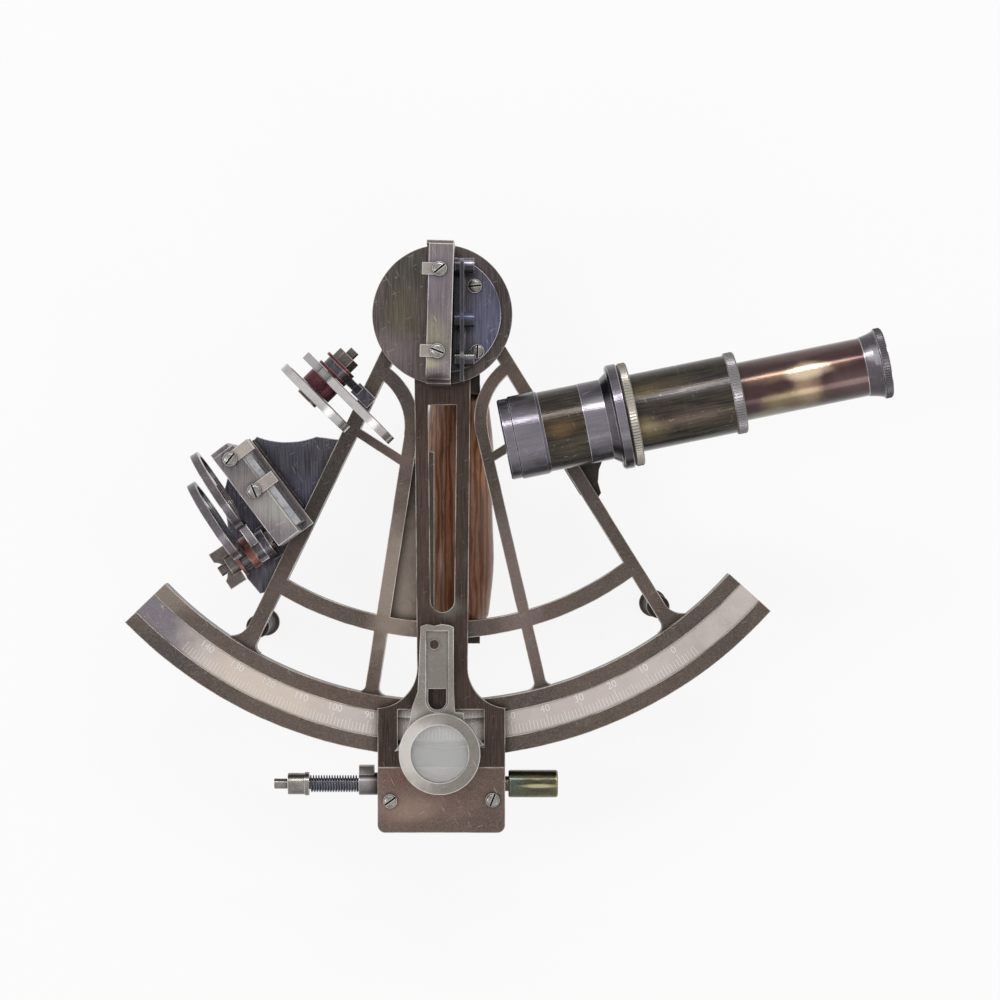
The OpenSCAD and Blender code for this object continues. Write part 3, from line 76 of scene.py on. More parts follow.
class Wiring:
    """Adds and joins nodes in one node tree."""

    def __init__(self, tree: Tree) -> None:
        """Keeps the tree.

        Args:
            tree: The tree to add to.
        """
        self.tree = tree

    @classmethod
    def emptied(cls, owner: bpy.types.Material | bpy.types.World) -> "Wiring":
        """Gives a material or a world an empty node tree.

        Args:
            owner: The material or world.

        Returns:
            The wiring of its tree.
        """
        owner.use_nodes = True
        owner.node_tree.nodes.clear()
        return cls(owner.node_tree)

    def join(self, node: bpy.types.Node, values: dict) -> None:
        """Sets inputs of a node, or joins outputs to them.

        Args:
            node: The node.
            values: Input names or numbers, each with a constant or an output.
        """
        for name, value in values.items():
            if isinstance(value, Socket):
                self.tree.links.new(value, node.inputs[name])
            else:
                node.inputs[name].default_value = value

    def add(self, kind: str, values: dict | None = None, **settings: object) -> bpy.types.Node:
        """Adds one node.

        Args:
            kind: Blender's name of the node type, without its ShaderNode prefix.
            values: Its inputs, as in join.
            settings: Properties of the node itself.

        Returns:
            The new node.
        """
        node = self.tree.nodes.new(kind if kind.startswith("NodeGroup") else "ShaderNode" + kind)
        for name, value in settings.items():
            setattr(node, name, value)
        self.join(node, values or {})
        return node

    def group(self, tree: Tree, values: dict) -> Outputs:
        """Adds a node group.

        Args:
            tree: The group.
            values: Its inputs, as in join.

        Returns:
            Its outputs.
        """
        return self.add("Group", values, node_tree=tree).outputs

    def math(self, operation: str, first: object, second: object = 0.0, clamp: bool = True) -> Socket:
        """Adds a Math node.

        Args:
            operation: Blender's name of the operation.
            first: Constant or output.
            second: Constant or output.
            clamp: Whether the result is held between 0 and 1.

        Returns:
            The result.
        """
        return self.add("Math", {0: first, 1: second}, operation=operation, use_clamp=clamp).outputs[0]

    def vector_math(self, operation: str, *operands: object) -> Outputs:
        """Adds a Vector Math node.

        Args:
            operation: Blender's name of the operation.
            operands: Constants or outputs.

        Returns:
            Its outputs.
        """
        return self.add("VectorMath", dict(enumerate(operands)), operation=operation).outputs

    def noise(self, place: Socket, scale: object, detail: float, roughness: float = 0.5) -> Outputs:
        """Adds a noise texture.

        Args:
            place: Where it is looked up.
            scale: Constant or output.
            detail: How many finer layers it has.
            roughness: How strong the finer layers are.

        Returns:
            Its outputs.
        """
        values = {"Vector": place, "Scale": scale, "Detail": detail, "Roughness": roughness}
        return self.add("TexNoise", values).outputs

    def mix(self, share: object, first: object, second: object) -> Socket:
        """Mixes two colours. A Mix node takes them at its inputs 6 and 7 and gives the result at output 2.

        Args:
            share: How much of the second colour shows.
            first: Constant or output.
            second: Constant or output.

        Returns:
            The mixed colour.
        """
        return self.add("Mix", {0: share, 6: first, 7: second}, data_type="RGBA").outputs[2]

    def spread(self, value: Socket, low: float, high: float, to_low: float = 0.0,
               to_high: float = 1.0) -> Socket:
        """Maps a value's range smoothly onto another.

        Args:
            value: The output to map.
            low: Value that becomes to_low.
            high: Value that becomes to_high.
            to_low: Result at low.
            to_high: Result at high.

        Returns:
            The mapped value.
        """
        values = {"Value": value, "From Min": low, "From Max": high, "To Min": to_low, "To Max": to_high}
        return self.add("MapRange", values, interpolation_type="SMOOTHSTEP").outputs["Result"]

    def seen(self) -> Socket:
        """Tells rays that show a surface from those that only light.

        Returns:
            1 on rays from the camera, a reflection or a glass, and 0 on the others.
        """
        ray = self.add("LightPath").outputs
        shown = self.math("MAXIMUM", ray["Is Glossy Ray"], ray["Is Transmission Ray"])
        return self.math("MAXIMUM", ray["Is Camera Ray"], shown)


class Effects:
    """The node groups that several finishes share, each built once."""

    def __init__(self) -> None:
        """Builds the groups."""
        self.tarnish = self._tarnish()
        # edges: rubbed wear with a painted edge highlight
        self.edges = self._edges()
        self.brushed = self._brushed()
        self.scratches = self._scratches()
        # painted shade on the steep sides
        self.sides = self._sides()
        # patches of stains and of painted light
        self.bloom = self._bloom()
        # painted shade where pieces meet
        self.corners = self._corners()

    @staticmethod
    def _group(name: str, inputs: dict[str, str],
               outputs: dict[str, str]) -> tuple[Wiring, Outputs, bpy.types.Node]:
        """Starts a group with named sockets.

        Args:
            name: The group's name.
            inputs: Socket type by name.
            outputs: Socket type by name.

        Returns:
            The group's wiring, what its input node gives, and its output node.
        """
        group = bpy.data.node_groups.new(name, "ShaderNodeTree")
        for way, sockets in (("INPUT", inputs), ("OUTPUT", outputs)):
            for key, kind in sockets.items():
                group.interface.new_socket(key, in_out=way, socket_type="NodeSocket" + kind)
        wires = Wiring(group)
        return wires, wires.add("NodeGroupInput").outputs, wires.add("NodeGroupOutput")

    def _mask_group(self, name: str, **inputs: str) -> tuple[Wiring, Outputs, Callable[[Socket], Tree]]:
        """Starts a group whose one output is a mask times the group's Amount.

        Args:
            name: The group's name.
            inputs: Socket type by name, without Amount.

        Returns:
            The group's wiring, what its input node gives, and what takes the mask and gives the group.
        """
        wires, source, end = self._group(name, {**inputs, "Amount": "Float"}, {"Mask": "Float"})

        def close(mask: Socket) -> Tree:
            """Joins the mask times Amount to the output and returns the group."""
            wires.join(end, {"Mask": wires.math("MULTIPLY", mask, source["Amount"])})
            return wires.tree

        return wires, source, close

    def _tarnish(self) -> Tree:
        """Builds the cloudy stain of old metal.

        Returns:
            The group.
        """
        wires, source, end = self._group(
            "tarnish",
            {"Vector": "Vector", "Base": "Color", "Stain": "Color", "Tint": "Color", "Scale": "Float",
             "Amount": "Float"},
            {"Color": "Color", "Mask": "Float"})
        broad = wires.noise(source["Vector"], source["Scale"], detail=6.0, roughness=0.62)
        fine_scale = wires.math("MULTIPLY", source["Scale"], 7.3, clamp=False)
        fine = wires.noise(source["Vector"], fine_scale, detail=4.0, roughness=0.7)
        cloud = wires.spread(broad["Fac"], 0.38, 0.66)
        speck = wires.math("MULTIPLY", wires.spread(fine["Fac"], 0.46, 0.70), 0.35)
        both = wires.math("MULTIPLY", wires.math("ADD", cloud, speck), source["Amount"])
        patch = wires.math("MULTIPLY", wires.spread(broad["Color"], 0.50, 0.72), source["Amount"])
        stained = wires.mix(both, source["Base"], source["Stain"])
        wires.join(end, {"Color": wires.mix(patch, stained, source["Tint"]), "Mask": both})
        return wires.tree

    def _edges(self) -> Tree:
        """Builds the mask of the edges, where a rounded normal leaves the true one: rubbed wear with a
        painted edge highlight, or a painted dark outline where a finish's edge colour is dark.

        Returns:
            The group.
        """
        wires, source, close = self._mask_group("rubbed_and_highlit_edges", Vector="Vector", Radius="Float")
        rounded = wires.add("Bevel", {"Radius": source["Radius"]}, samples=6).outputs["Normal"]
        true_normal = wires.add("NewGeometry").outputs["Normal"]
        facing = wires.vector_math("DOT_PRODUCT", rounded, true_normal)["Value"]
        noise = wires.noise(source["Vector"], 90.0, detail=3.0)
        broken = wires.spread(noise["Fac"], 0.34, 0.58, 0.25, 1.0)
        return close(wires.math("MULTIPLY", wires.spread(facing, 0.998, 0.93), broken))

    def _brushed(self) -> Tree:
        """Builds the fine lines of brushed or turned metal.

        Returns:
            The group.
        """
        wires, source, end = self._group(
            "brushed", {"Vector": "Vector", "Along": "Vector", "Scale": "Float"}, {"Lines": "Float"})
        drawn = wires.vector_math("MULTIPLY", source["Vector"], source["Along"])["Vector"]
        lines = wires.noise(drawn, source["Scale"], detail=3.0, roughness=0.6)
        wires.join(end, {"Lines": wires.spread(lines["Fac"], 0.30, 0.70)})
        return wires.tree

    def _scratches(self) -> Tree:
        """Builds the mask of sparse fine scratches that run two ways.

        Returns:
            The group.
        """
        wires, source, close = self._mask_group("scratches", Vector="Vector")
        masks = []
        for degrees, scale in ((24.0, 2300.0), (-63.0, 1900.0)):
            values = {"Vector": source["Vector"], "Rotation": (0.0, 0.0, math.radians(degrees)),
                      "Scale": (10.0, 1.0, 2.0)}
            drawn = wires.add("Mapping", values, vector_type="TEXTURE").outputs["Vector"]
            masks.append(wires.spread(wires.noise(drawn, scale, detail=1.0)["Fac"], 0.71, 0.78))
        return close(wires.math("MAXIMUM", *masks))

    def _sides(self) -> Tree:
        """Builds the mask of painted shade on the steep sides, the faces that don't look straight up or
        down.

        Returns:
            The group.
        """
        wires, source, close = self._mask_group("painted_flank_shade", Vector="Vector", Normal="Vector")
        height = wires.add("SeparateXYZ", {"Vector": source["Normal"]}).outputs["Z"]
        steep = wires.spread(wires.math("ABSOLUTE", height), 0.99, 0.66)
        noise = wires.noise(source["Vector"], 70.0, detail=4.0)
        return close(wires.math("MULTIPLY", steep, wires.spread(noise["Fac"], 0.30, 0.60, 0.65, 1.0)))

    def _corners(self) -> Tree:
        """Builds the mask of painted shade where pieces meet, strongest where ambient occlusion finds
        surfaces close by.

        Returns:
            The group.
        """
        wires, source, close = self._mask_group("painted_corner_shade", Reach="Float")
        open_share = wires.add("AmbientOcclusion", {"Distance": source["Reach"]}, samples=6).outputs["AO"]
        return close(wires.spread(open_share, 0.92, 0.40))

    def _bloom(self) -> Tree:
        """Builds the soft mask of one patch, a stain or painted light, an oval with a ragged rim.

        Returns:
            The group.
        """
        wires, source, close = self._mask_group("bloom", Vector="Vector", Middle="Vector", Reach="Vector")
        offset = wires.vector_math("SUBTRACT", source["Vector"], source["Middle"])["Vector"]
        share = wires.vector_math("DIVIDE", offset, source["Reach"])["Vector"]
        away = wires.vector_math("LENGTH", share)["Value"]
        noise = wires.noise(source["Vector"], 110.0, detail=3.0)
        ragged = wires.math("ADD", away, wires.spread(noise["Fac"], 0.3, 0.7, 0.0, 0.3), clamp=False)
        return close(wires.spread(ragged, 1.3, 0.35))


class Brush(Enum):
    """Which way a metal is brushed, as the stretch of its lines along X, Y and Z."""

    EVEN = (1.0, 1.0, 1.0)
    ALONG_X = (0.03, 1.0, 1.0)
    ALONG_Y = (1.0, 0.03, 1.0)


@dataclass(frozen=True)
class Bloom:
    """A soft patch at one place of a finish: a stain, or painted light such as a painted highlight, sheen or
    shade. Lengths in mm, in the finish's own turned frame.
    """

    middle: Point
    reach: Point
    colour: str
    amount: float = 0.7
    over_edges: bool = False


@dataclass(frozen=True)
class Metal:
    """A worn metal or lacquered metal finish, which also carries painted shade on its steep sides and where
    pieces meet, painted edge highlights, and patches of painted light. Lengths in mm, turns in degrees.
    """

    name: str
    base: str
    stain: str
    tint: str
    edge: str
    roughness: float = 0.38
    polished: float = 0.9
    cloud: float = 60.0
    tarnish: float = 0.6
    # strength of the edges' colour: rubbed wear with a painted edge highlight
    rubbed: float = 0.8
    rub_radius: float = 0.5
    brush: Brush = Brush.EVEN
    brush_scale: float = 2600.0
    brush_depth: float = 0.10
    scratched: float = 0.15
    stretch: float = 1.0
    turn: float = 0.0
    coat: float = 0.0
    dulled: float = 0.12
    # strength of the painted shade on the steep sides
    sides: float = 0.0
    # strength of the painted shade where pieces meet
    grime: float = 0.65
    rubbed_gloss: float = 0.12
    dullest: float = 0.9
    # patches: stains, and some painted highlights, sheen and shade
    blooms: tuple[Bloom, ...] = ()

    def build(self, effects: Effects) -> bpy.types.Material:
        """Makes the material.

        Args:
            effects: The shared node groups.

        Returns:
            The material.
        """
        material, wires, shader = start_material(self.name)
        source = wires.add("TexCoord").outputs
        place = source["Object"]
        turn = (0.0, 0.0, -math.radians(self.turn))
        square = wires.add("Mapping", {"Vector": place, "Rotation": turn}).outputs["Vector"]
        drawn = wires.add("Mapping", {"Vector": square, "Scale": (self.stretch, 1.0, 1.0)}).outputs["Vector"]
        edge, stain = tone(self.edge), tone(self.stain)
        old = wires.group(effects.tarnish, {
            "Vector": drawn, "Base": tone(self.base), "Stain": stain, "Tint": tone(self.tint),
            "Scale": self.cloud, "Amount": self.tarnish})
        lines = wires.group(effects.brushed, {
            "Vector": square, "Along": self.brush.value, "Scale": self.brush_scale})["Lines"]
        worn_and_lit_edges = wires.group(effects.edges, {
            "Vector": place, "Radius": self.rub_radius * MM, "Amount": self.rubbed})["Mask"]
        scratched = wires.group(effects.scratches, {"Vector": place, "Amount": self.scratched})["Mask"]
        flank_shade = wires.group(effects.sides, {
            "Vector": drawn, "Normal": source["Normal"], "Amount": self.sides})["Mask"]
        corner_shaded = wires.group(effects.corners, {"Reach": CORNER_SHADE_REACH, "Amount": self.grime})["Mask"]
        # patches under the edges: stains, and some painted highlights and shade
        colour = self.stained(wires, effects, square, old["Color"], over_edges=False)
        # painted shade on the steep sides, in the stain colour
        colour = wires.mix(flank_shade, colour, stain)
        # brushed lines, scratches, and the edges' colour: rubbed wear with a painted edge highlight
        for mask in (wires.math("MULTIPLY", lines, self.brush_depth), scratched, worn_and_lit_edges):
            colour = wires.mix(mask, colour, edge)
        # patches over the edges: stains, and some painted highlights and shade
        colour = self.stained(wires, effects, square, colour, over_edges=True)
        # painted shade where pieces meet, from ambient occlusion
        colour = wires.mix(corner_shaded, colour, tone(CORNER_SHADE_COLOUR))
        dulled = min(self.roughness + self.dulled, self.dullest)
        rough = wires.spread(old["Mask"], 0.0, 1.0, self.roughness, dulled)
        rough = wires.math("SUBTRACT", rough, wires.math("MULTIPLY", worn_and_lit_edges, self.rubbed_gloss))
        bump = wires.add("Bump", {"Strength": 0.25, "Distance": 0.05 * MM, "Height": lines})
        wires.join(shader, {
            "Base Color": colour, "Roughness": rough, "Metallic": self.polished,
            "Normal": bump.outputs["Normal"], "Coat Weight": self.coat, "Coat Roughness": 0.12})
        return material

    def stained(self, wires: Wiring, effects: Effects, square: Socket, colour: Socket,
                over_edges: bool) -> Socket:
        """Lays the finish's patches, stains and painted light, over a colour.

        Args:
            wires: The material's wiring.
            effects: The shared node groups.
            square: Place on the object, in the finish's turned frame.
            colour: The colour so far.
            over_edges: Which patches: those over the rubbed edges, or those under them.

        Returns:
            The colour with its patches laid over it.
        """
        for bloom in self.blooms:
            if bloom.over_edges == over_edges:
                # each patch is a stain or painted light
                stain = wires.group(effects.bloom, {
                    "Vector": square, "Middle": Vector(bloom.middle) * MM,
                    "Reach": Vector(bloom.reach) * MM, "Amount": bloom.amount})
                colour = wires.mix(stain["Mask"], colour, tone(bloom.colour))
        return colour


@dataclass(frozen=True)
class Glass:
    """A clear, coloured or silvered glass."""

    name: str
    colour: str
    smear: str
    silvered: bool = False
    clear: float = 1.0
    roughness: float = 0.03
    smeared: float = 0.12

    def build(self, effects: Effects) -> bpy.types.Material:
        """Makes the material.

        Args:
            effects: The shared node groups.

        Returns:
            The material.
        """
        material, wires, shader = start_material(self.name)
        place = wires.add("TexCoord").outputs["Object"]
        colour = tone(self.colour)
        old = wires.group(effects.tarnish, {
            "Vector": place, "Base": colour, "Stain": tone(self.smear), "Tint": colour, "Scale": 90.0,
            "Amount": 0.3})
        rough = wires.spread(old["Mask"], 0.0, 1.0, self.roughness, self.roughness + self.smeared)
        wires.join(shader, {
            "Base Color": old["Color"], "Roughness": rough, "IOR": 1.5,
            "Metallic": 1.0 if self.silvered else 0.0,
            "Transmission Weight": 0.0 if self.silvered else self.clear})
        if not self.silvered:
            shade = wires.add("LightPath").outputs["Is Shadow Ray"]
            see_through = wires.add("BsdfTransparent", {"Color": colour})
            surface = wires.add(
                "MixShader", {0: shade, 1: shader.outputs["BSDF"], 2: see_through.outputs["BSDF"]})
            end = next(n for n in material.node_tree.nodes if n.type == "OUTPUT_MATERIAL")
            wires.join(end, {"Surface": surface.outputs["Shader"]})
        return material


@dataclass(frozen=True)
class Wood:
    """Oiled hardwood with grain along the grip."""

    name: str
    light: str
    dark: str
    pore: str

    def build(self, effects: Effects) -> bpy.types.Material:
        """Makes the material.

        Args:
            effects: The shared node groups.

        Returns:
            The material.
        """
        material, wires, shader = start_material(self.name)
        place = wires.add("TexCoord").outputs["Object"]
        drawn = wires.add("Mapping", {"Vector": place, "Scale": (1.0, 0.10, 1.0)}).outputs["Vector"]
        wave = wires.add(
            "TexWave",
            {"Vector": drawn, "Scale": 160.0, "Distortion": 9.0, "Detail": 4.0, "Detail Scale": 1.6},
            wave_type="BANDS", bands_direction="X")
        figure = wires.spread(wave.outputs["Fac"], 0.15, 0.85)
        pores = wires.spread(wires.noise(drawn, 1500.0, detail=3.0)["Fac"], 0.56, 0.72)
        old = wires.group(effects.tarnish, {
            "Vector": place, "Base": wires.mix(figure, tone(self.light), tone(self.dark)),
            "Stain": tone(self.dark), "Tint": tone(self.pore), "Scale": 30.0, "Amount": 0.45})
        colour = wires.mix(wires.math("MULTIPLY", pores, 0.7), old["Color"], tone(self.pore))
        bump = wires.add("Bump", {"Strength": 0.3, "Distance": 0.1 * MM, "Height": pores}, invert=True)
        wires.join(shader, {
            "Base Color": colour, "Roughness": wires.spread(pores, 0.0, 1.0, 0.34, 0.6),
            "Normal": bump.outputs["Normal"], "Coat Weight": 0.25, "Coat Roughness": 0.2})
        return material


def start_material(name: str) -> tuple[bpy.types.Material, Wiring, bpy.types.Node]:
    """Starts a material with only a shader and its output.

    Args:
        name: The material's name.

    Returns:
        The material, its wiring and its Principled shader.
    """
    material = bpy.data.materials.new(name)
    wires = Wiring.emptied(material)
    shader = wires.add("BsdfPrincipled")
    wires.add("OutputMaterial", {"Surface": shader.outputs["BSDF"]})
    return material, wires, shader


FINISHES = (
    Metal("limb_bronze", base="52463f", stain="322a29", tint="6b5550", edge="e2d8cc",
          roughness=0.34, cloud=22.0, tarnish=0.75, rubbed=1.0, rub_radius=0.55, sides=0.5,
          blooms=(
              Bloom((-46, -56, 55), (26, 34, 30), "2b2525", 0.9),
              Bloom((-15, -26, 55), (14, 16, 30), "3b3436", 0.8),
              Bloom((-19, -105, 55), (14, 40, 30), "85786e", 0.9),
              Bloom((55, -78, 55), (12, 40, 30), "403739"),
              Bloom((-120, -132, 61), (26, 13, 12), "343032", 0.85),
              Bloom((-108, -108, 61), (24, 12, 12), "7c7268"),
              Bloom((-32, -148, 61), (34, 10, 12), "4c3833", 0.6),
              Bloom((30, -100, 55), (12, 55, 30), "6b5c59"))),
    Metal("arm_bronze", base="3a2d28", stain="211919", tint="4a3732", edge="d2c5b8",
          roughness=0.32, cloud=30.0, brush=Brush.ALONG_Y, brush_depth=0.06,
          rub_radius=0.55, rubbed=1.0, sides=0.4,
          blooms=(
              Bloom((-6, -80, 65), (5, 70, 9), "4a3832", 0.5),
              Bloom((1.5, -113, 65), (8, 6, 9), "6c6a62", 0.6),
              Bloom((-20.5, -164, 65), (6, 16, 9), "261d1b", 0.6),
              Bloom((-30.5, -183.1, 56), (6.5, 8, 8), "8e8c8f", 1))),
    Metal("foot_bronze", base="3a3432", stain="201c1d", tint="4b403c", edge="a89d90",
          sides=0.3),
    Metal("disc_bronze", base="4d4443", stain="36332e", tint="5a4756", edge="bcb2aa",
          roughness=0.30, cloud=16.0, tarnish=0.7, brush=Brush.ALONG_Y, brush_depth=0.13,
          scratched=0.4,
          blooms=(
              # painted shade on the disc's right rim beyond the mirror's half-round base
              Bloom((24.5, 2, 67), (9, 32, 8), "332f2d", 0.9),
              Bloom((-14, 19, 67), (16, 9, 8), "3d3b36"),
              Bloom((-15, -1, 67), (8, 13, 8), "57513e", 0.6),
              Bloom((-19, -15, 67), (13, 10, 8), "72666a", 0.6))),
    Metal("blue_lacquer", base="302b38", stain="1d1a22", tint="3c3d58", edge="f0eef4",
          roughness=0.22, polished=0.8, cloud=26.0, coat=0.3, rub_radius=0.6,
          brush=Brush.ALONG_Y, scratched=0.2, sides=0.3,
          blooms=(
              # painted blue sheen on the right part of the mirror's half-round base
              Bloom((17, -3, 68), (8, 20, 5), "505274", 0.65),
              Bloom((5, 0, 96), (40, 60, 26), "2b2a30", 0.85, over_edges=True),
              # painted highlights along the crowns of the three barrels behind the mirror (this and the next
              # two patches)
              Bloom((10, 19.2, 88), (5, 1.5, 22), "a3a1ad", 0.8, over_edges=True),
              Bloom((9.4, -2, 88), (7, 2, 22), "565b78", 0.8, over_edges=True),
              Bloom((9, -17, 88), (5, 1.5, 22), "8d8a86", 0.8, over_edges=True),
              Bloom((-50, -55, 50), (20, 9, 10), "1f1a26", 0.6),
              Bloom((-52, -72, 50), (13, 12, 10), "4e4e70", 0.5))),
    Metal("screw_steel", base="8f8a85", stain="4a4440", tint="7b7673", edge="f4f2ee",
          roughness=0.2, cloud=260.0, rubbed=1.0, rub_radius=0.4, sides=0.5),
    Metal("mirror_steel", base="776d72", stain="524b4f", tint="857e6c", edge="f4f0ea",
          roughness=0.28, cloud=34.0, rubbed=1.0, brush=Brush.ALONG_Y, scratched=0.2,
          rub_radius=0.6, sides=0.4,
          blooms=(
              Bloom((-5, 15, 104), (10, 13, 12), "716678"),
              Bloom((-5, -10, 104), (10, 11, 12), "837c69"),
              Bloom((-4.5, -20.6, 104), (7, 2.8, 14), "aaa185", 0.75),
              # painted shade at the foot of the index mirror frame
              Bloom((-3.5, -26.4, 104), (9.5, 3, 14), "31281f", 0.85, over_edges=True),
              Bloom((-76, -56, 104), (11, 9, 14), "4f4a50", 0.8),
              Bloom((-61, -75, 104), (12, 9, 14), "93948a"),
              Bloom((-68, -86, 104), (9, 8, 14), "433b43", 0.8))),
    Metal("magnifier_steel", base="7d7771", stain="645d57", tint="77776a", edge="f0ede8",
          roughness=0.34, cloud=34.0, rub_radius=0.6, scratched=0.2,
          blooms=(
              Bloom((-1.9, -138, 73), (5, 17, 12), "6e6762", 0.8),
              Bloom((-11, -170, 77), (14, 20, 9), "cdc7c1", 0.8))),
    Metal("silvered_scale", base="c0b5b0", stain="a39890", tint="b5a3a8", edge="e8e2de",
          roughness=0.5, polished=0.5, cloud=20.0, rubbed=0.5, scratched=0.3,
          blooms=(
              Bloom((-114, -118, 61), (27, 26, 10), "655e69", 0.9),
              Bloom((-68, -142, 61), (34, 28, 10), "cbbcae", 0.8))),
    # dark edge colour: a painted dark outline along the rims' edges
    Metal("rim_silver", base="c4c0c0", stain="7d7779", tint="a39da0", edge="4a4548",
          roughness=0.16, tarnish=0.4, rub_radius=0.35),
    Metal("clip_silver", base="a59c94", stain="6d655f", tint="8d8580", edge="f4f2f0",
          roughness=0.24, cloud=90.0, tarnish=0.5, sides=0.4),
    Metal("shade_steel", base="5d565b", stain="2c272b", tint="6c6469", edge="f4f2f0",
          roughness=0.16),
    Metal("nut_steel", base="5b5250", stain="2e2826", tint="6a5e55", edge="d8d0c6",
          roughness=0.3, cloud=160.0),
    Metal("scope_silver", base="746f78", stain="2b272b", tint="6e6773", edge="e4e2e8",
          roughness=0.18, dulled=0.08, cloud=26.0, tarnish=0.25, scratched=0.2, turn=TELESCOPE_TURN,
          brush=Brush.ALONG_X, brush_depth=0.06, sides=1.0, rub_radius=0.4,
          # painted highlight on the collar band
          blooms=(Bloom((53.6, -46.8, 101), (9, 3.2, 10), "b0acb4", 0.5),)),
    Metal("mottled_brass", base="30292a", stain="141011", tint="4f4139", edge="cbbf9e",
          roughness=0.15, dulled=0.08, cloud=95.0, tarnish=0.85, coat=0.1, turn=TELESCOPE_TURN, stretch=0.14,
          brush=Brush.ALONG_X, brush_depth=0.08, scratched=0.25, sides=0.95, rubbed=0.15,
          rub_radius=0.3,
          blooms=(
              Bloom((69.7, -43.6, 97), (17, 5, 14), "77694a", 0.6),
              Bloom((66, -60.5, 96), (13, 6.5, 14), "94865f", 0.65),
              Bloom((85, -58.5, 97), (20, 4.5, 14), "61504c", 0.5),
              # painted highlight streak along the middle of the tube
              Bloom((84, -49, 99), (26, 1.8, 12), "7a777e", 0.5),
              Bloom((98, -46, 97), (18, 5, 14), "2f2d34", 0.6),
              Bloom((36, -53, 102), (9, 5, 12), "6b5230", 0.6),
              Bloom((38, -62, 99), (8, 3, 12), "6a6350", 0.4))),
    Metal("knurled_brass", base="7d7464", stain="4d4437", tint="6d6452", edge="d9d2c0",
          roughness=0.34, cloud=80.0, tarnish=0.5, rub_radius=0.3),
    Metal("knurled_silver", base="a39d94", stain="4f483e", tint="958b7a", edge="eee8da",
          roughness=0.3, cloud=80.0, tarnish=0.4, rub_radius=0.3, sides=0.9),
    Metal("knurled_steel", base="767073", stain="3c373a", tint="6d676b", edge="d8d4d6",
          roughness=0.28, cloud=80.0, tarnish=0.2, rub_radius=0.3, sides=0.6),
    Metal("knurled_cup", base="5a5459", stain="2a262a", tint="544e53", edge="a8a4a8",
          roughness=0.3, cloud=80.0, tarnish=0.12, rubbed=0.25, rub_radius=0.12, sides=0.7),
    Metal("knob_brass", base="404130", stain="14140f", tint="7a6a42", edge="e0d8a8",
          roughness=0.14, cloud=90.0, tarnish=1.0, coat=0.3, stretch=0.5, sides=0.5,
          blooms=(
              Bloom((26, -183, 60), (7, 8, 9), "33484a"),
              # painted highlight line along the knob
              Bloom((37, -183.6, 61.4), (9, 0.9, 4), "ccc49a"))),
    Metal("cover_lacquer", base="6d5750", stain="46352f", tint="8a6d5c", edge="e6d8cc",
          roughness=0.32, polished=0.75, cloud=20.0, tarnish=0.7, rub_radius=0.55,
          scratched=0.25,
          blooms=(
              Bloom((-13, -192, 66), (14, 8, 6), "8d7467"),
              Bloom((-18, -181, 66), (9, 5, 6), "5a2f26", 0.5),
              Bloom((20, -197, 66), (14, 7, 6), "4a3a36", 0.8),
              Bloom((0, -199, 66), (30, 4, 6), "4d3e39"))),
    Metal("draw_lacquer", base="38121a", stain="1a090d", tint="4a2227", edge="e8d8b8",
          roughness=0.12, dulled=0.06, polished=0.85, cloud=16.0, coat=0.6,
          rubbed=0.3, turn=TELESCOPE_TURN, stretch=0.3, brush_depth=0.02, scratched=0.08, sides=0.35,
          blooms=(
              Bloom((124, -59.5, 96), (15, 4.5, 12), "8b7b55", 0.75),
              Bloom((148, -58, 96), (14, 6, 12), "5f4a47", 0.75),
              Bloom((134, -43.5, 96), (34, 2.2, 12), "6b4b46", 0.6),
              Bloom((116, -63, 92), (20, 1.8, 10), "99937a", 0.6),
              # painted highlight glow on the draw tube: a column, a soft halo and a bright core (this and
              # the next two patches)
              Bloom((130, -55.5, 97), (6.5, 9, 12), "b0957a", 0.6),
              Bloom((127, -49.8, 98), (24, 3.2, 12), "a8896c", 0.45),
              Bloom((130.5, -50.4, 98), (10.5, 3.4, 12), "ecd6b6", 0.72))),
    Metal("eyepiece_metal", base="544e54", stain="252125", tint="544d54", edge="e4e0e6",
          roughness=0.2, tarnish=0.4, sides=0.8, turn=TELESCOPE_TURN,
          # painted highlight on the eyepiece cup
          blooms=(Bloom((157.5, -48.8, 99), (6, 3.4, 10), "c2bdc4", 0.6),)),
    Metal("copper_washer", base="6e433d", stain="4a2427", tint="6b3a38", edge="e0b9ab",
          roughness=0.28, cloud=160.0, rub_radius=0.3),
    Metal("maroon_washer", base="4a2029", stain="241015", tint="5c2f35", edge="c99a94",
          roughness=0.28, cloud=160.0, rub_radius=0.3),
    Metal("spring_metal", base="575a6a", stain="32343f", tint="4b4e5e", edge="c4c8d6",
          roughness=0.24, cloud=200.0, tarnish=0.4, rubbed=0.3),
    Metal("scale_fill", base="f1edea", stain="d9d2cd", tint="e4dcd8", edge="ffffff",
          roughness=0.5, polished=0.1, rubbed=0.0, brush_depth=0.0),
    Metal("worn_silvering", base="b3b0b2", stain="8f9497", tint="3f3c3e", edge="e8e6e8",
          roughness=0.08, dulled=0.1, cloud=320.0, tarnish=0.7, rubbed=0.0, brush_depth=0.04,
          sides=1.0),
    # painted shade for the bottoms of the screw slots
    Metal("painted_slot_shade", base="1a1514", stain="0e0b0b", tint="241c19", edge="2a2422",
          roughness=0.7, polished=0.2, rubbed=0.0, brush_depth=0.0),
    Wood("grip_wood", light="c08860", dark="7c482f", pore="4a2818"),
    Glass("mirror_glass", colour="a3aaad", smear="83898b", silvered=True, roughness=0.05),
    Glass("lens_glass", colour="fafcfb", smear="f0f4f2"),
    Glass("loupe_glass", colour="fbfcfb", smear="f2f4f2", clear=0.75, roughness=0.01),
    Glass("red_glass", colour="8a2a2a", smear="6a2020", clear=0.95),
    Glass("blue_glass", colour="5a6a86", smear="46546c", clear=0.95),
)

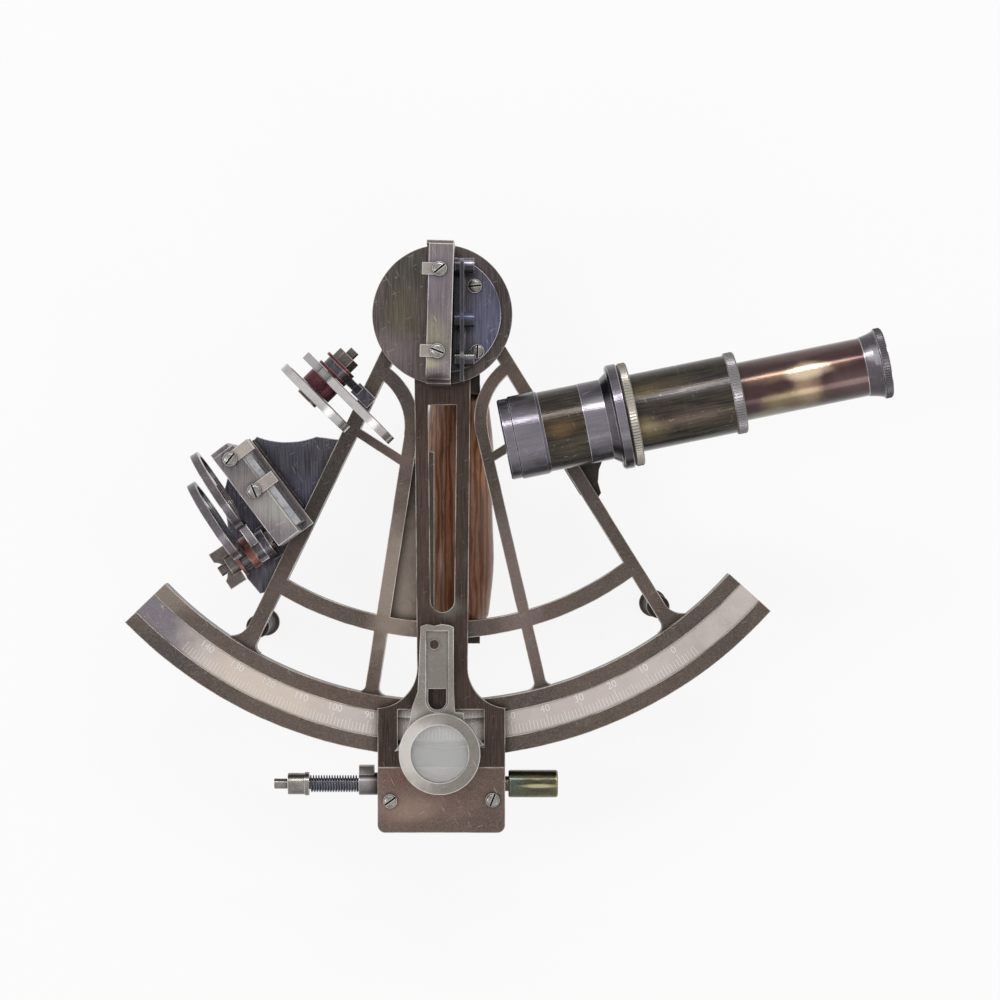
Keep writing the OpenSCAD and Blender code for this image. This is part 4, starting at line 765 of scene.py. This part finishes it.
FINISH_OF_NODES = {
    "limb_bronze": ("limb_frame", "handle_plate"),
    "arm_bronze": ("index_arm",),
    "foot_bronze": (
        "pivot_foot", "left_foot", "right_foot", "handle_upper_bracket", "handle_lower_bracket",
        "horizon_mirror_base", "telescope_bracket", "clamp_carriage"),
    "disc_bronze": ("arm_disc",),
    "blue_lacquer": (
        "horizon_bracket", "index_shade_bracket", "horizon_shade_bracket", "index_mirror_base"),
    "screw_steel": (
        "handle_screws", "horizon_clip_screws", "frame_screws", "arm_screws", "pivot_journal",
        "tangent_screw"),
    "mirror_steel": ("horizon_mirror_frame", "index_mirror_frame"),
    "magnifier_steel": ("magnifier_arm",),
    "silvered_scale": ("scale_strip", "vernier_plate"),
    "rim_silver": ("index_shade_near", "index_shade_far"),
    "clip_silver": ("index_clips", "horizon_clips"),
    "shade_steel": ("horizon_shade_near", "horizon_shade_far"),
    "nut_steel": ("index_shade_nut", "horizon_shade_nut"),
    "scope_silver": ("telescope_collar", "objective_hood"),
    "mottled_brass": ("telescope_tube", "pivot_bush", "rise_knob", "clamp_screw"),
    "knurled_brass": ("collar_ring", "tube_ring"),
    "knob_brass": ("tangent_knob",),
    "cover_lacquer": ("tangent_cover",),
    "draw_lacquer": ("draw_tube",),
    "eyepiece_metal": ("eyepiece_cup",),
    "copper_washer": ("horizon_shade_washers",),
    "maroon_washer": ("index_shade_washers",),
    "spring_metal": ("tangent_spring",),
    "grip_wood": ("handle_grip",),
    "mirror_glass": ("index_mirror_glass",),
    "worn_silvering": ("horizon_mirror_glass",),
    "lens_glass": ("objective_lens", "eye_lens"),
    "loupe_glass": ("magnifier_lens",),
    "red_glass": ("index_glass_near", "horizon_glass_near"),
    "blue_glass": ("index_glass_far", "horizon_glass_far"),
}


class Paintbox:
    """Builds every finish once and puts it on pieces."""

    def __init__(self) -> None:
        """Builds the materials."""
        effects = Effects()
        self.materials = {finish.name: finish.build(effects) for finish in FINISHES}

    def paint(self, piece: Piece, finish: str) -> None:
        """Gives a whole piece one finish.

        Args:
            piece: The piece.
            finish: The finish's name.
        """
        piece.data.materials.clear()
        piece.data.materials.append(self.materials[finish])

    def dress_nodes(self) -> None:
        """Gives every CAD node its finish."""
        for finish, nodes in FINISH_OF_NODES.items():
            for node in nodes:
                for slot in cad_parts[node].material_slots:
                    slot.material = self.materials[finish]


class Bench:
    """Starts primitives, selects parts of them by place, and finishes and copies pieces."""

    def __init__(self, paintbox: Paintbox) -> None:
        """Keeps the paintbox.

        Args:
            paintbox: The finishes.
        """
        self.paintbox = paintbox

    @staticmethod
    def start(kind: str, **sizes: object) -> Piece:
        """Adds a primitive that is alone in the selection.

        Args:
            kind: The primitive's name in Blender, such as cylinder.
            sizes: The primitive's own settings.

        Returns:
            The new object.
        """
        bpy.ops.object.select_all(action="DESELECT")
        getattr(bpy.ops.mesh, "primitive_" + kind + "_add")(**sizes)
        piece = bpy.context.object
        bpy.ops.object.transform_apply(location=True, rotation=True, scale=True)
        return piece

    @staticmethod
    def pick(piece: Piece, part: str, test: Callable[[object], bool]) -> None:
        """Enters edit mode and selects the vertices, edges or faces that pass a test.

        Args:
            piece: The piece.
            part: VERT, EDGE or FACE.
            test: Says of one vertex, edge or face whether it is selected.
        """
        bpy.ops.object.mode_set(mode="EDIT")
        bpy.ops.mesh.select_mode(type=part)
        bpy.ops.mesh.select_all(action="DESELECT")
        mesh = bmesh.from_edit_mesh(piece.data)
        for item in {"VERT": mesh.verts, "EDGE": mesh.edges, "FACE": mesh.faces}[part]:
            if test(item):
                item.select_set(True)
        mesh.select_flush_mode()
        bmesh.update_edit_mesh(piece.data)

    @staticmethod
    def close() -> None:
        """Turns all faces of the active piece outwards and ends in object mode."""
        bpy.ops.object.mode_set(mode="EDIT")
        bpy.ops.mesh.select_all(action="SELECT")
        bpy.ops.mesh.normals_make_consistent(inside=False)
        bpy.ops.object.mode_set(mode="OBJECT")

    @staticmethod
    def apply(piece: Piece, kind: str, **settings: object) -> None:
        """Adds a modifier, sets it and applies it.

        Args:
            piece: The piece.
            kind: The modifier's type.
            settings: Its properties.
        """
        modifier = piece.modifiers.new(kind.lower(), kind)
        for name, value in settings.items():
            setattr(modifier, name, value)
        bpy.context.view_layer.objects.active = piece
        bpy.ops.object.modifier_apply(modifier=modifier.name)

    @staticmethod
    def choose(pieces: list[Piece]) -> None:
        """Selects only some pieces, with the first of them active.

        Args:
            pieces: The pieces.
        """
        bpy.ops.object.select_all(action="DESELECT")
        for piece in pieces:
            piece.select_set(True)
        bpy.context.view_layer.objects.active = pieces[0]

    def join(self, pieces: list[Piece]) -> Piece:
        """Joins pieces into the first of them.

        Args:
            pieces: The pieces.

        Returns:
            The joined piece.
        """
        self.choose(pieces)
        bpy.ops.object.join()
        return bpy.context.object

    def bar(self, x: float, y: float, z: float) -> Piece:
        """Starts a bar about the origin.

        Args:
            x: Its side along X, in mm.
            y: Its side along Y, in mm.
            z: Its side along Z, in mm.

        Returns:
            The bar.
        """
        bar = self.start("cube", size=1.0)
        bar.data.transform(sized(x, y, z))
        return bar

    @staticmethod
    def copy(piece: Piece, place: Matrix) -> Piece:
        """Copies a piece with its own mesh and moves the copy's mesh.

        Args:
            piece: The piece to copy.
            place: How the copy's mesh is moved.

        Returns:
            The copy.
        """
        twin = piece.copy()
        twin.data = piece.data.copy()
        twin.data.transform(place)
        bpy.context.collection.objects.link(twin)
        return twin

    def finish(self, piece: Piece, name: str, body: str, finish: str, slot: str,
               place: Matrix = Matrix.Identity(4), replaces: str = "", smooth: float = 35.0) -> None:
        """Puts a modelled piece in its place, paints it and lets it ride on its body.

        Args:
            piece: The piece.
            name: Its name.
            body: The body that it rides on.
            finish: Its finish.
            slot: The record's material slot; not used.
            place: Where its mesh goes.
            replaces: The CAD node that it stands for, if any.
            smooth: Edges flatter than this many degrees are shaded smooth.
        """
        self.choose([piece])
        piece.name = name
        piece.data.name = name
        piece.data.transform(place)
        bpy.ops.object.shade_smooth_by_angle(angle=math.radians(smooth))
        self.paintbox.paint(piece, finish)
        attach(piece, body)
        if replaces:
            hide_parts(replaces)
        LOG.info("%s: %d faces on %s", name, len(piece.data.polygons), body)


def moved(x: float, y: float, z: float) -> Matrix:
    """Returns a move by x, y and z millimetres."""
    return Matrix.Translation(Vector((x, y, z)) * MM)


def sized(x: float, y: float, z: float) -> Matrix:
    """Returns a stretch of a unit shape to x, y and z millimetres."""
    return Matrix.Diagonal((x * MM, y * MM, z * MM, 1.0))


def turned(degrees: float, axis: str) -> Matrix:
    """Returns a turn about an axis through the origin."""
    return Matrix.Rotation(math.radians(degrees), 4, axis)


@dataclass
class KnurledRing:
    """A ring with straight ribs round it, modelled upwards from the origin about Z. Lengths in mm."""

    name: str
    body: str
    finish: str
    slot: str
    outer: float
    bore: float
    length: float
    ribs: int
    place: Matrix
    replaces: str = ""
    rib_depth: float = 0.28
    edge: float = 0.5

    def build(self, bench: Bench) -> None:
        """Models the ring.

        Args:
            bench: The tools.
        """
        outer, bore, edge, depth = [v * MM for v in (self.outer, self.bore, self.edge, self.rib_depth)]
        half = self.length * MM / 2
        ring = bench.start(
            "cylinder", vertices=2 * self.ribs, radius=outer, depth=2 * (half - edge), end_fill_type="NGON")
        bench.pick(ring, "FACE", lambda face: abs(face.normal.z) > 0.9)
        bpy.ops.mesh.inset(thickness=edge)
        bpy.ops.transform.resize(value=(1.0, 1.0, half / (half - edge)))
        bpy.ops.mesh.inset(thickness=outer - edge - bore)
        bpy.ops.mesh.delete(type="ONLY_FACE")
        bench.pick(ring, "EDGE", lambda line: line.is_boundary)
        bpy.ops.mesh.bridge_edge_loops()
        step = math.pi / self.ribs

        def in_groove(vertex: bmesh.types.BMVert) -> bool:
            """Says whether a vertex stands on every second edge of the outer wall."""
            count = round(math.atan2(vertex.co.y, vertex.co.x) / step)
            return vertex.co.to_2d().length > outer - edge / 2 and count % 2 == 1

        bench.pick(ring, "VERT", in_groove)
        share = (outer - depth) / outer
        bpy.ops.transform.resize(value=(share, share, 1.0))
        bench.close()
        place = self.place @ moved(0, 0, self.length / 2)
        bench.finish(ring, self.name, self.body, self.finish, self.slot, place, self.replaces, smooth=20)


@dataclass
class TakeUpSpring:
    """The round-wire spring about the tangent screw's shaft. Lengths in mm."""

    low_x: float = -52.3
    length: float = 19.5
    screw_y: float = 183.1
    screw_z: float = 56.0
    coil_r: float = 3.1
    wire_r: float = 0.3
    turns: int = 18
    gap: float = 0.04
    steps: int = 28
    weld: float = 0.001

    def build(self, bench: Bench) -> None:
        """Sweeps a round wire along the coil, closes its ends and puts it about the shaft.

        Args:
            bench: The tools.
        """
        rise = (self.length - 2 * self.wire_r - 2 * self.gap) / self.turns
        wire = bench.start("circle", vertices=10, radius=self.wire_r * MM, rotation=(math.pi / 2, 0, 0))
        wire.data.transform(moved(self.coil_r, 0, 0))
        bench.apply(
            wire, "SCREW", angle=2 * math.pi, screw_offset=rise * MM, iterations=self.turns,
            steps=self.steps, render_steps=self.steps, axis="Z", use_merge_vertices=False)
        bpy.ops.object.mode_set(mode="EDIT")
        bpy.ops.mesh.select_all(action="SELECT")
        bpy.ops.mesh.remove_doubles(threshold=self.weld * MM)
        bpy.ops.mesh.fill_holes(sides=0)
        bench.close()
        place = moved(self.low_x + self.wire_r + self.gap, -self.screw_y, self.screw_z) @ turned(90, "Y")
        bench.finish(
            wire, "wound_spring", "tangent_screw", "spring_metal", "spring_steel", place,
            "tangent_spring", smooth=60)


@dataclass
class Grip:
    """The turned and flattened wooden grip behind the frame. Lengths in mm."""

    x: float = 6.0
    high_y: float = 30.0
    low_y: float = 121.0
    low_z: float = 8.0
    width: float = 27.6
    thickness: float = 22.0
    sides: int = 40
    end_share: float = 0.74
    end_rounding: float = 4.0
    taper: float = 0.12
    waist: float = 0.035
    edge: float = 0.4
    stops: tuple = (0.012, 0.03, 0.06, 0.11, 0.16, 0.22, 0.28, 0.34, 0.40, 0.50, 0.60, 0.66, 0.72,
                    0.78, 0.84, 0.90, 0.94, 0.97, 0.988, 1.0)

    def swell(self, share: float) -> float:
        """Works out how full the grip is at a place.

        Args:
            share: The place, as a share of the grip's length.

        Returns:
            A share of the full width and thickness.
        """
        length = self.low_y - self.high_y
        ease = min(min(share, 1 - share) * length, self.end_rounding) / self.end_rounding
        rounded = math.sqrt(1 - (1 - ease) ** 2)
        belly = 1 - self.taper * (2 * share - 1) ** 2 - self.waist * math.cos(4 * math.pi * share)
        return (self.end_share + (1 - self.end_share) * rounded) * belly

    def build(self, bench: Bench) -> None:
        """Draws a disc out along the grip, stop by stop, and rounds it.

        Args:
            bench: The tools.
        """
        length = (self.low_y - self.high_y) * MM
        grip = bench.start("circle", vertices=self.sides, radius=1.0, fill_type="NGON")
        first = self.swell(0.0)
        grip.data.transform(sized(self.width / 2 * first, self.thickness / 2 * first, 1.0))
        bench.pick(grip, "FACE", lambda face: True)
        before, fill_before = 0.0, first
        for stop in self.stops:
            fill_now = self.swell(stop)
            bpy.ops.mesh.extrude_region_move(
                TRANSFORM_OT_translate={"value": (0.0, 0.0, (stop - before) * length)})
            bpy.ops.transform.resize(value=(fill_now / fill_before, fill_now / fill_before, 1.0))
            before, fill_before = stop, fill_now
        bench.close()
        bench.apply(
            grip, "BEVEL", width=self.edge * MM, segments=2, limit_method="ANGLE",
            angle_limit=math.radians(50))
        place = moved(self.x, -self.high_y, self.low_z + self.thickness / 2) @ turned(90, "X")
        bench.finish(grip, "wooden_grip", "frame", "grip_wood", "wood_grip", place, "handle_grip", smooth=50)


@dataclass
class Graduation:
    """Lines and figures cut in the silvered strip and in the vernier. Lengths in mm, turns in degrees."""

    zero_deg: float = 34.6
    unit_deg: float = 0.5
    first_unit: int = -5
    last_unit: int = 145
    strip_z: float = 60.6
    outer_r: float = 165.5
    short_l: float = 3.3
    middle_l: float = 4.1
    long_l: float = 4.9
    line_w: float = 0.2
    line_t: float = 0.03
    figure_h: float = 2.9
    type_size: float = 1.38
    thinning: float = 0.02
    figure_r: float = 158.6
    vernier_z: float = 62.8
    vernier_r: float = 157.0
    vernier_half: int = 12
    vernier_deg: float = 0.48

    def turn_of(self, unit: int) -> float:
        """Returns the turn of a unit on the strip from straight down, positive to the right."""
        return self.zero_deg - unit * self.unit_deg

    def line(self, bench: Bench, length: float, reach: float, degrees: float, z: float) -> Piece:
        """Makes one cut line that ends at a radius.

        Args:
            bench: The tools.
            length: The line's length.
            reach: Radius of its outer end.
            degrees: Its turn from straight down, positive to the right.
            z: Height of the face that it is cut in.

        Returns:
            The line.
        """
        bar = bench.bar(self.line_w, length, self.line_t)
        bar.data.transform(turned(degrees, "Z") @ moved(0, -reach + length / 2, z))
        return bar

    def figure(self, unit: int) -> Piece:
        """Makes the number of one unit on the strip, its top to the pivot.

        Args:
            unit: The unit.

        Returns:
            The number as a mesh.
        """
        bpy.ops.object.select_all(action="DESELECT")
        bpy.ops.object.text_add()
        words = bpy.context.object
        words.data.body = str(unit)
        words.data.size = self.figure_h * MM * self.type_size
        words.data.align_x = "CENTER"
        words.data.align_y = "CENTER"
        words.data.extrude = self.line_t * MM / 2
        words.data.offset = -self.thinning * MM
        bpy.ops.object.convert(target="MESH")
        words = bpy.context.object
        words.data.transform(turned(self.turn_of(unit), "Z") @ moved(0, -self.figure_r, self.strip_z))
        return words

    def build(self, bench: Bench) -> None:
        """Cuts the strip's and the vernier's lines and figures.

        Args:
            bench: The tools.
        """
        lines = []
        for unit in range(self.first_unit, self.last_unit + 1):
            length = self.long_l if unit % 10 == 0 else self.middle_l if unit % 5 == 0 else self.short_l
            lines.append(self.line(bench, length, self.outer_r, self.turn_of(unit), self.strip_z))
        bench.finish(bench.join(lines), "scale_lines", "frame", "scale_fill", "silvered")
        figures = [self.figure(unit) for unit in range(0, self.last_unit + 1, 10)]
        bench.finish(bench.join(figures), "scale_figures", "frame", "scale_fill", "silvered")
        lines = []
        for unit in range(-self.vernier_half, self.vernier_half + 1):
            length = self.middle_l if unit % 5 == 0 else self.short_l
            degrees = unit * self.vernier_deg
            lines.append(self.line(bench, length, self.vernier_r, degrees, self.vernier_z))
        bench.finish(bench.join(lines), "vernier_lines", "index_arm", "scale_fill", "silvered")


@dataclass
class SlotDirt:
    """Painted shade in the bottoms of screw slots: a dark bar in each, given by the slot's middle and turn.
    Lengths in mm.
    """

    name: str
    body: str
    slots: tuple
    place: Matrix = field(default_factory=lambda: Matrix.Identity(4))
    length: float = 5.1
    width: float = 0.74
    depth: float = 0.1
    edge: float = 0.04

    def build(self, bench: Bench) -> None:
        """Lays one dark bar of painted shade in each slot.

        Args:
            bench: The tools.
        """
        bars = []
        for x, y, z, degrees in self.slots:
            bar = bench.bar(self.length, self.width, self.depth)
            bench.apply(bar, "BEVEL", width=self.edge * MM, segments=1)
            bar.data.transform(moved(x, y, z) @ turned(degrees, "Z"))
            bars.append(bar)
        bench.finish(bench.join(bars), self.name, self.body, "painted_slot_shade", "dark_bronze", self.place)


@dataclass
class DomedHeads:
    """Rounded slotted heads on the CAD screws: each head's middle, top and turn. Lengths in mm."""

    name: str
    body: str
    heads: tuple
    place: Matrix = field(default_factory=lambda: Matrix.Identity(4))
    radius: float = 2.76
    below: float = 0.9
    rise: float = 0.55
    rounding: float = 1.2
    slot: float = 0.8

    def build(self, bench: Bench) -> None:
        """Models one head, cuts its slot and copies it onto each screw.

        Args:
            bench: The tools.
        """
        height = self.below + self.rise
        cutter = bench.bar(4 * self.radius, self.slot, 4 * height)
        head = bench.start(
            "cylinder", vertices=32, radius=self.radius * MM, depth=height * MM, end_fill_type="NGON")
        head.data.transform(moved(0, 0, self.rise - height / 2))
        bench.pick(head, "EDGE", lambda line: all(v.co.z > (self.rise - 0.1) * MM for v in line.verts))
        bpy.ops.mesh.bevel(offset=self.rounding * MM, segments=4, profile=0.5)
        bench.close()
        bench.apply(head, "BOOLEAN", operation="DIFFERENCE", object=cutter, solver="EXACT")
        bpy.data.objects.remove(cutter)
        copies = [bench.copy(head, moved(x, y, z) @ turned(degrees, "Z")) for x, y, z, degrees in self.heads]
        bpy.data.objects.remove(head)
        bench.finish(
            bench.join(copies), self.name, self.body, "screw_steel", "bright_steel", self.place, smooth=40)


class Telescope:
    """The telescope's knurled rings, along an axis that starts at the front of its hood."""

    axis = moved(24.0, -49.1, 88.0) @ turned(TELESCOPE_TURN, "Z") @ turned(90, "Y")

    def build(self, bench: Bench) -> None:
        """Models the rings.

        Args:
            bench: The tools.
        """
        rings = (
            KnurledRing("collar_knurl", "telescope", "knurled_silver", "knob_brass", outer=20.0, bore=15.05,
                        length=3.4, ribs=104, place=self.axis @ moved(0, 0, 47.6), replaces="collar_ring"),
            KnurledRing("tube_knurl", "telescope", "knurled_steel", "scope_silver", outer=15.8, bore=11.36,
                        length=4.0, ribs=88, place=self.axis @ moved(0, 0, 88.0), replaces="tube_ring"),
            KnurledRing("cup_knurl", "draw_tube", "knurled_cup", "eyepiece_steel", outer=13.6, bore=12.9,
                        length=2.6, ribs=84, place=self.axis @ moved(0, 0, 146.1), rib_depth=0.25, edge=0.3))
        for ring in rings:
            ring.build(bench)


@dataclass
class Studio:
    """Pale floor, soft light and the photograph's camera straight above the arc's plane."""

    view_x: float = 22.4 * MM
    view_y: float = -72.0 * MM
    plane_z: float = 62.0 * MM
    distance: float = 1300.0 * MM
    frame_width: float = 390.0 * MM
    sensor: float = 36.0
    floor_size: float = 6.0
    floor_shade: float = 0.9
    floor_glow: float = 0.88
    sky_light: float = 0.45
    lamps: tuple = (
        ("long_strip", (0.1, 1.05, 1.3), (1.5, 0.18), 9.0),
        ("side_strip", (-0.95, -0.15, 1.25), (0.2, 1.0), 4.0),
        ("front", (0.7, -1.0, 1.0), (0.6, 0.6), 2.0))

    def build(self) -> None:
        """Makes the floor, the world, the lamps and the camera."""
        self._floor()
        self._world()
        for lamp in self.lamps:
            self._lamp(*lamp)
        self._camera()
        bpy.context.scene.view_settings.view_transform = "Standard"

    def _floor(self) -> None:
        """Makes the pale floor that shows white and keeps the object's shadow."""
        bpy.ops.mesh.primitive_plane_add(size=self.floor_size)
        floor = bpy.context.object
        floor.name = "floor"
        material = bpy.data.materials.new("pale_floor")
        wires = Wiring.emptied(material)
        matt = wires.add("BsdfDiffuse", {"Color": (self.floor_shade,) * 3 + (1.0,)})
        white = wires.add("Emission", {"Color": WHITE})
        share = wires.math("MULTIPLY", wires.seen(), self.floor_glow)
        shown = wires.add("MixShader", {0: share, 1: matt.outputs[0], 2: white.outputs[0]})
        wires.add("OutputMaterial", {"Surface": shown.outputs[0]})
        floor.data.materials.append(material)

    def _world(self) -> None:
        """Makes the world: white where it is seen, a soft grey where it lights."""
        world = bpy.data.worlds.new("studio")
        wires = Wiring.emptied(world)
        strength = wires.spread(wires.seen(), 0.0, 1.0, self.sky_light, 1.0)
        back = wires.add("Background", {"Color": WHITE, "Strength": strength})
        wires.add("OutputWorld", {"Surface": back.outputs[0]})
        bpy.context.scene.world = world

    @staticmethod
    def _lamp(name: str, place: Point, size: tuple[float, float], power: float) -> None:
        """Makes an oblong soft lamp that points at the object.

        Args:
            name: The lamp's name.
            place: Where it stands, in metres.
            size: Its two sides, in metres.
            power: Its power, in watts.
        """
        data = bpy.data.lights.new(name, "AREA")
        data.shape = "RECTANGLE"
        data.size, data.size_y = size
        data.energy = power
        lamp = bpy.data.objects.new(name, data)
        lamp.location = place
        lamp.rotation_euler = Vector(place).to_track_quat("Z", "Y").to_euler()
        bpy.context.collection.objects.link(lamp)

    def _camera(self) -> None:
        """Makes the camera and sets it as the scene's own."""
        data = bpy.data.cameras.new("photograph")
        data.sensor_width = self.sensor
        data.sensor_fit = "HORIZONTAL"
        data.lens = self.sensor * self.distance / self.frame_width
        camera = bpy.data.objects.new("photograph", data)
        camera.location = (self.view_x, self.view_y, self.plane_z + self.distance)
        bpy.context.collection.objects.link(camera)
        bpy.context.scene.camera = camera


def slotted_heads(name: str, body: str, top: float, screws: tuple,
                  place: Matrix = Matrix.Identity(4)) -> tuple[DomedHeads, SlotDirt]:
    """Makes the rounded heads of some screws and the painted shade in their slots.

    Args:
        name: What the screws hold.
        body: The body that they ride on.
        top: Height of the CAD heads' tops.
        screws: Each screw's x, y and turn.
        place: Where the group goes.

    Returns:
        The heads and the painted slot shade.
    """
    heads = tuple((x, y, top, turn) for x, y, turn in screws)
    # dark bars of painted shade at the slots' bottoms
    slots = tuple((x, y, top - SLOT_DEPTH, turn) for x, y, turn in screws)
    return DomedHeads(name + "_heads", body, heads, place), SlotDirt(name + "_slots", body, slots, place)


def main() -> None:
    """Builds the studio, dresses the nodes and adds the fine pieces."""
    bpy.ops.object.select_all(action="DESELECT")
    Studio().build()
    paintbox = Paintbox()
    paintbox.dress_nodes()
    bench = Bench(paintbox)
    for assembly in (
        Telescope(),
        TakeUpSpring(),
        Grip(),
        Graduation(),
        KnurledRing("rise_knurl", "rise_knob", "knurled_brass", "knob_brass", outer=7.2, bore=6.8,
                    length=7.0, ribs=44, place=moved(68.1, -40.1, 17.5), edge=0.4),
        KnurledRing("clamp_knurl", "clamp_screw", "knurled_brass", "knob_brass", outer=6.2, bore=5.8,
                    length=5.6, ribs=38, place=moved(0, -162.0, 35.2), edge=0.4),
        *slotted_heads("cover", "index_arm", 67.6, ((-20.3, -189.0, 35), (19.5, -188.6, 68))),
        *slotted_heads("mirror_base", "index_arm", 70.1, ((12.6, 11.0, 5), (13.6, -14.4, 88))),
        *slotted_heads("index_clip", "index_arm", 108.0, ((-4.2, -16.0, 40), (-4.2, 15.0, -20)),
                       moved(-5.0, -0.7, 0) @ turned(178.5, "Z")),
        *slotted_heads("horizon_clip", "frame", 108.0, ((-4.2, 1.5, 75), (-4.2, 16.6, 15)),
                       moved(-65.9, -67.3, 0) @ turned(37, "Z")),
    ):
        assembly.build(bench)


if __name__ == "__main__":
    logging.basicConfig(level=logging.INFO, format="%(message)s")
    main()
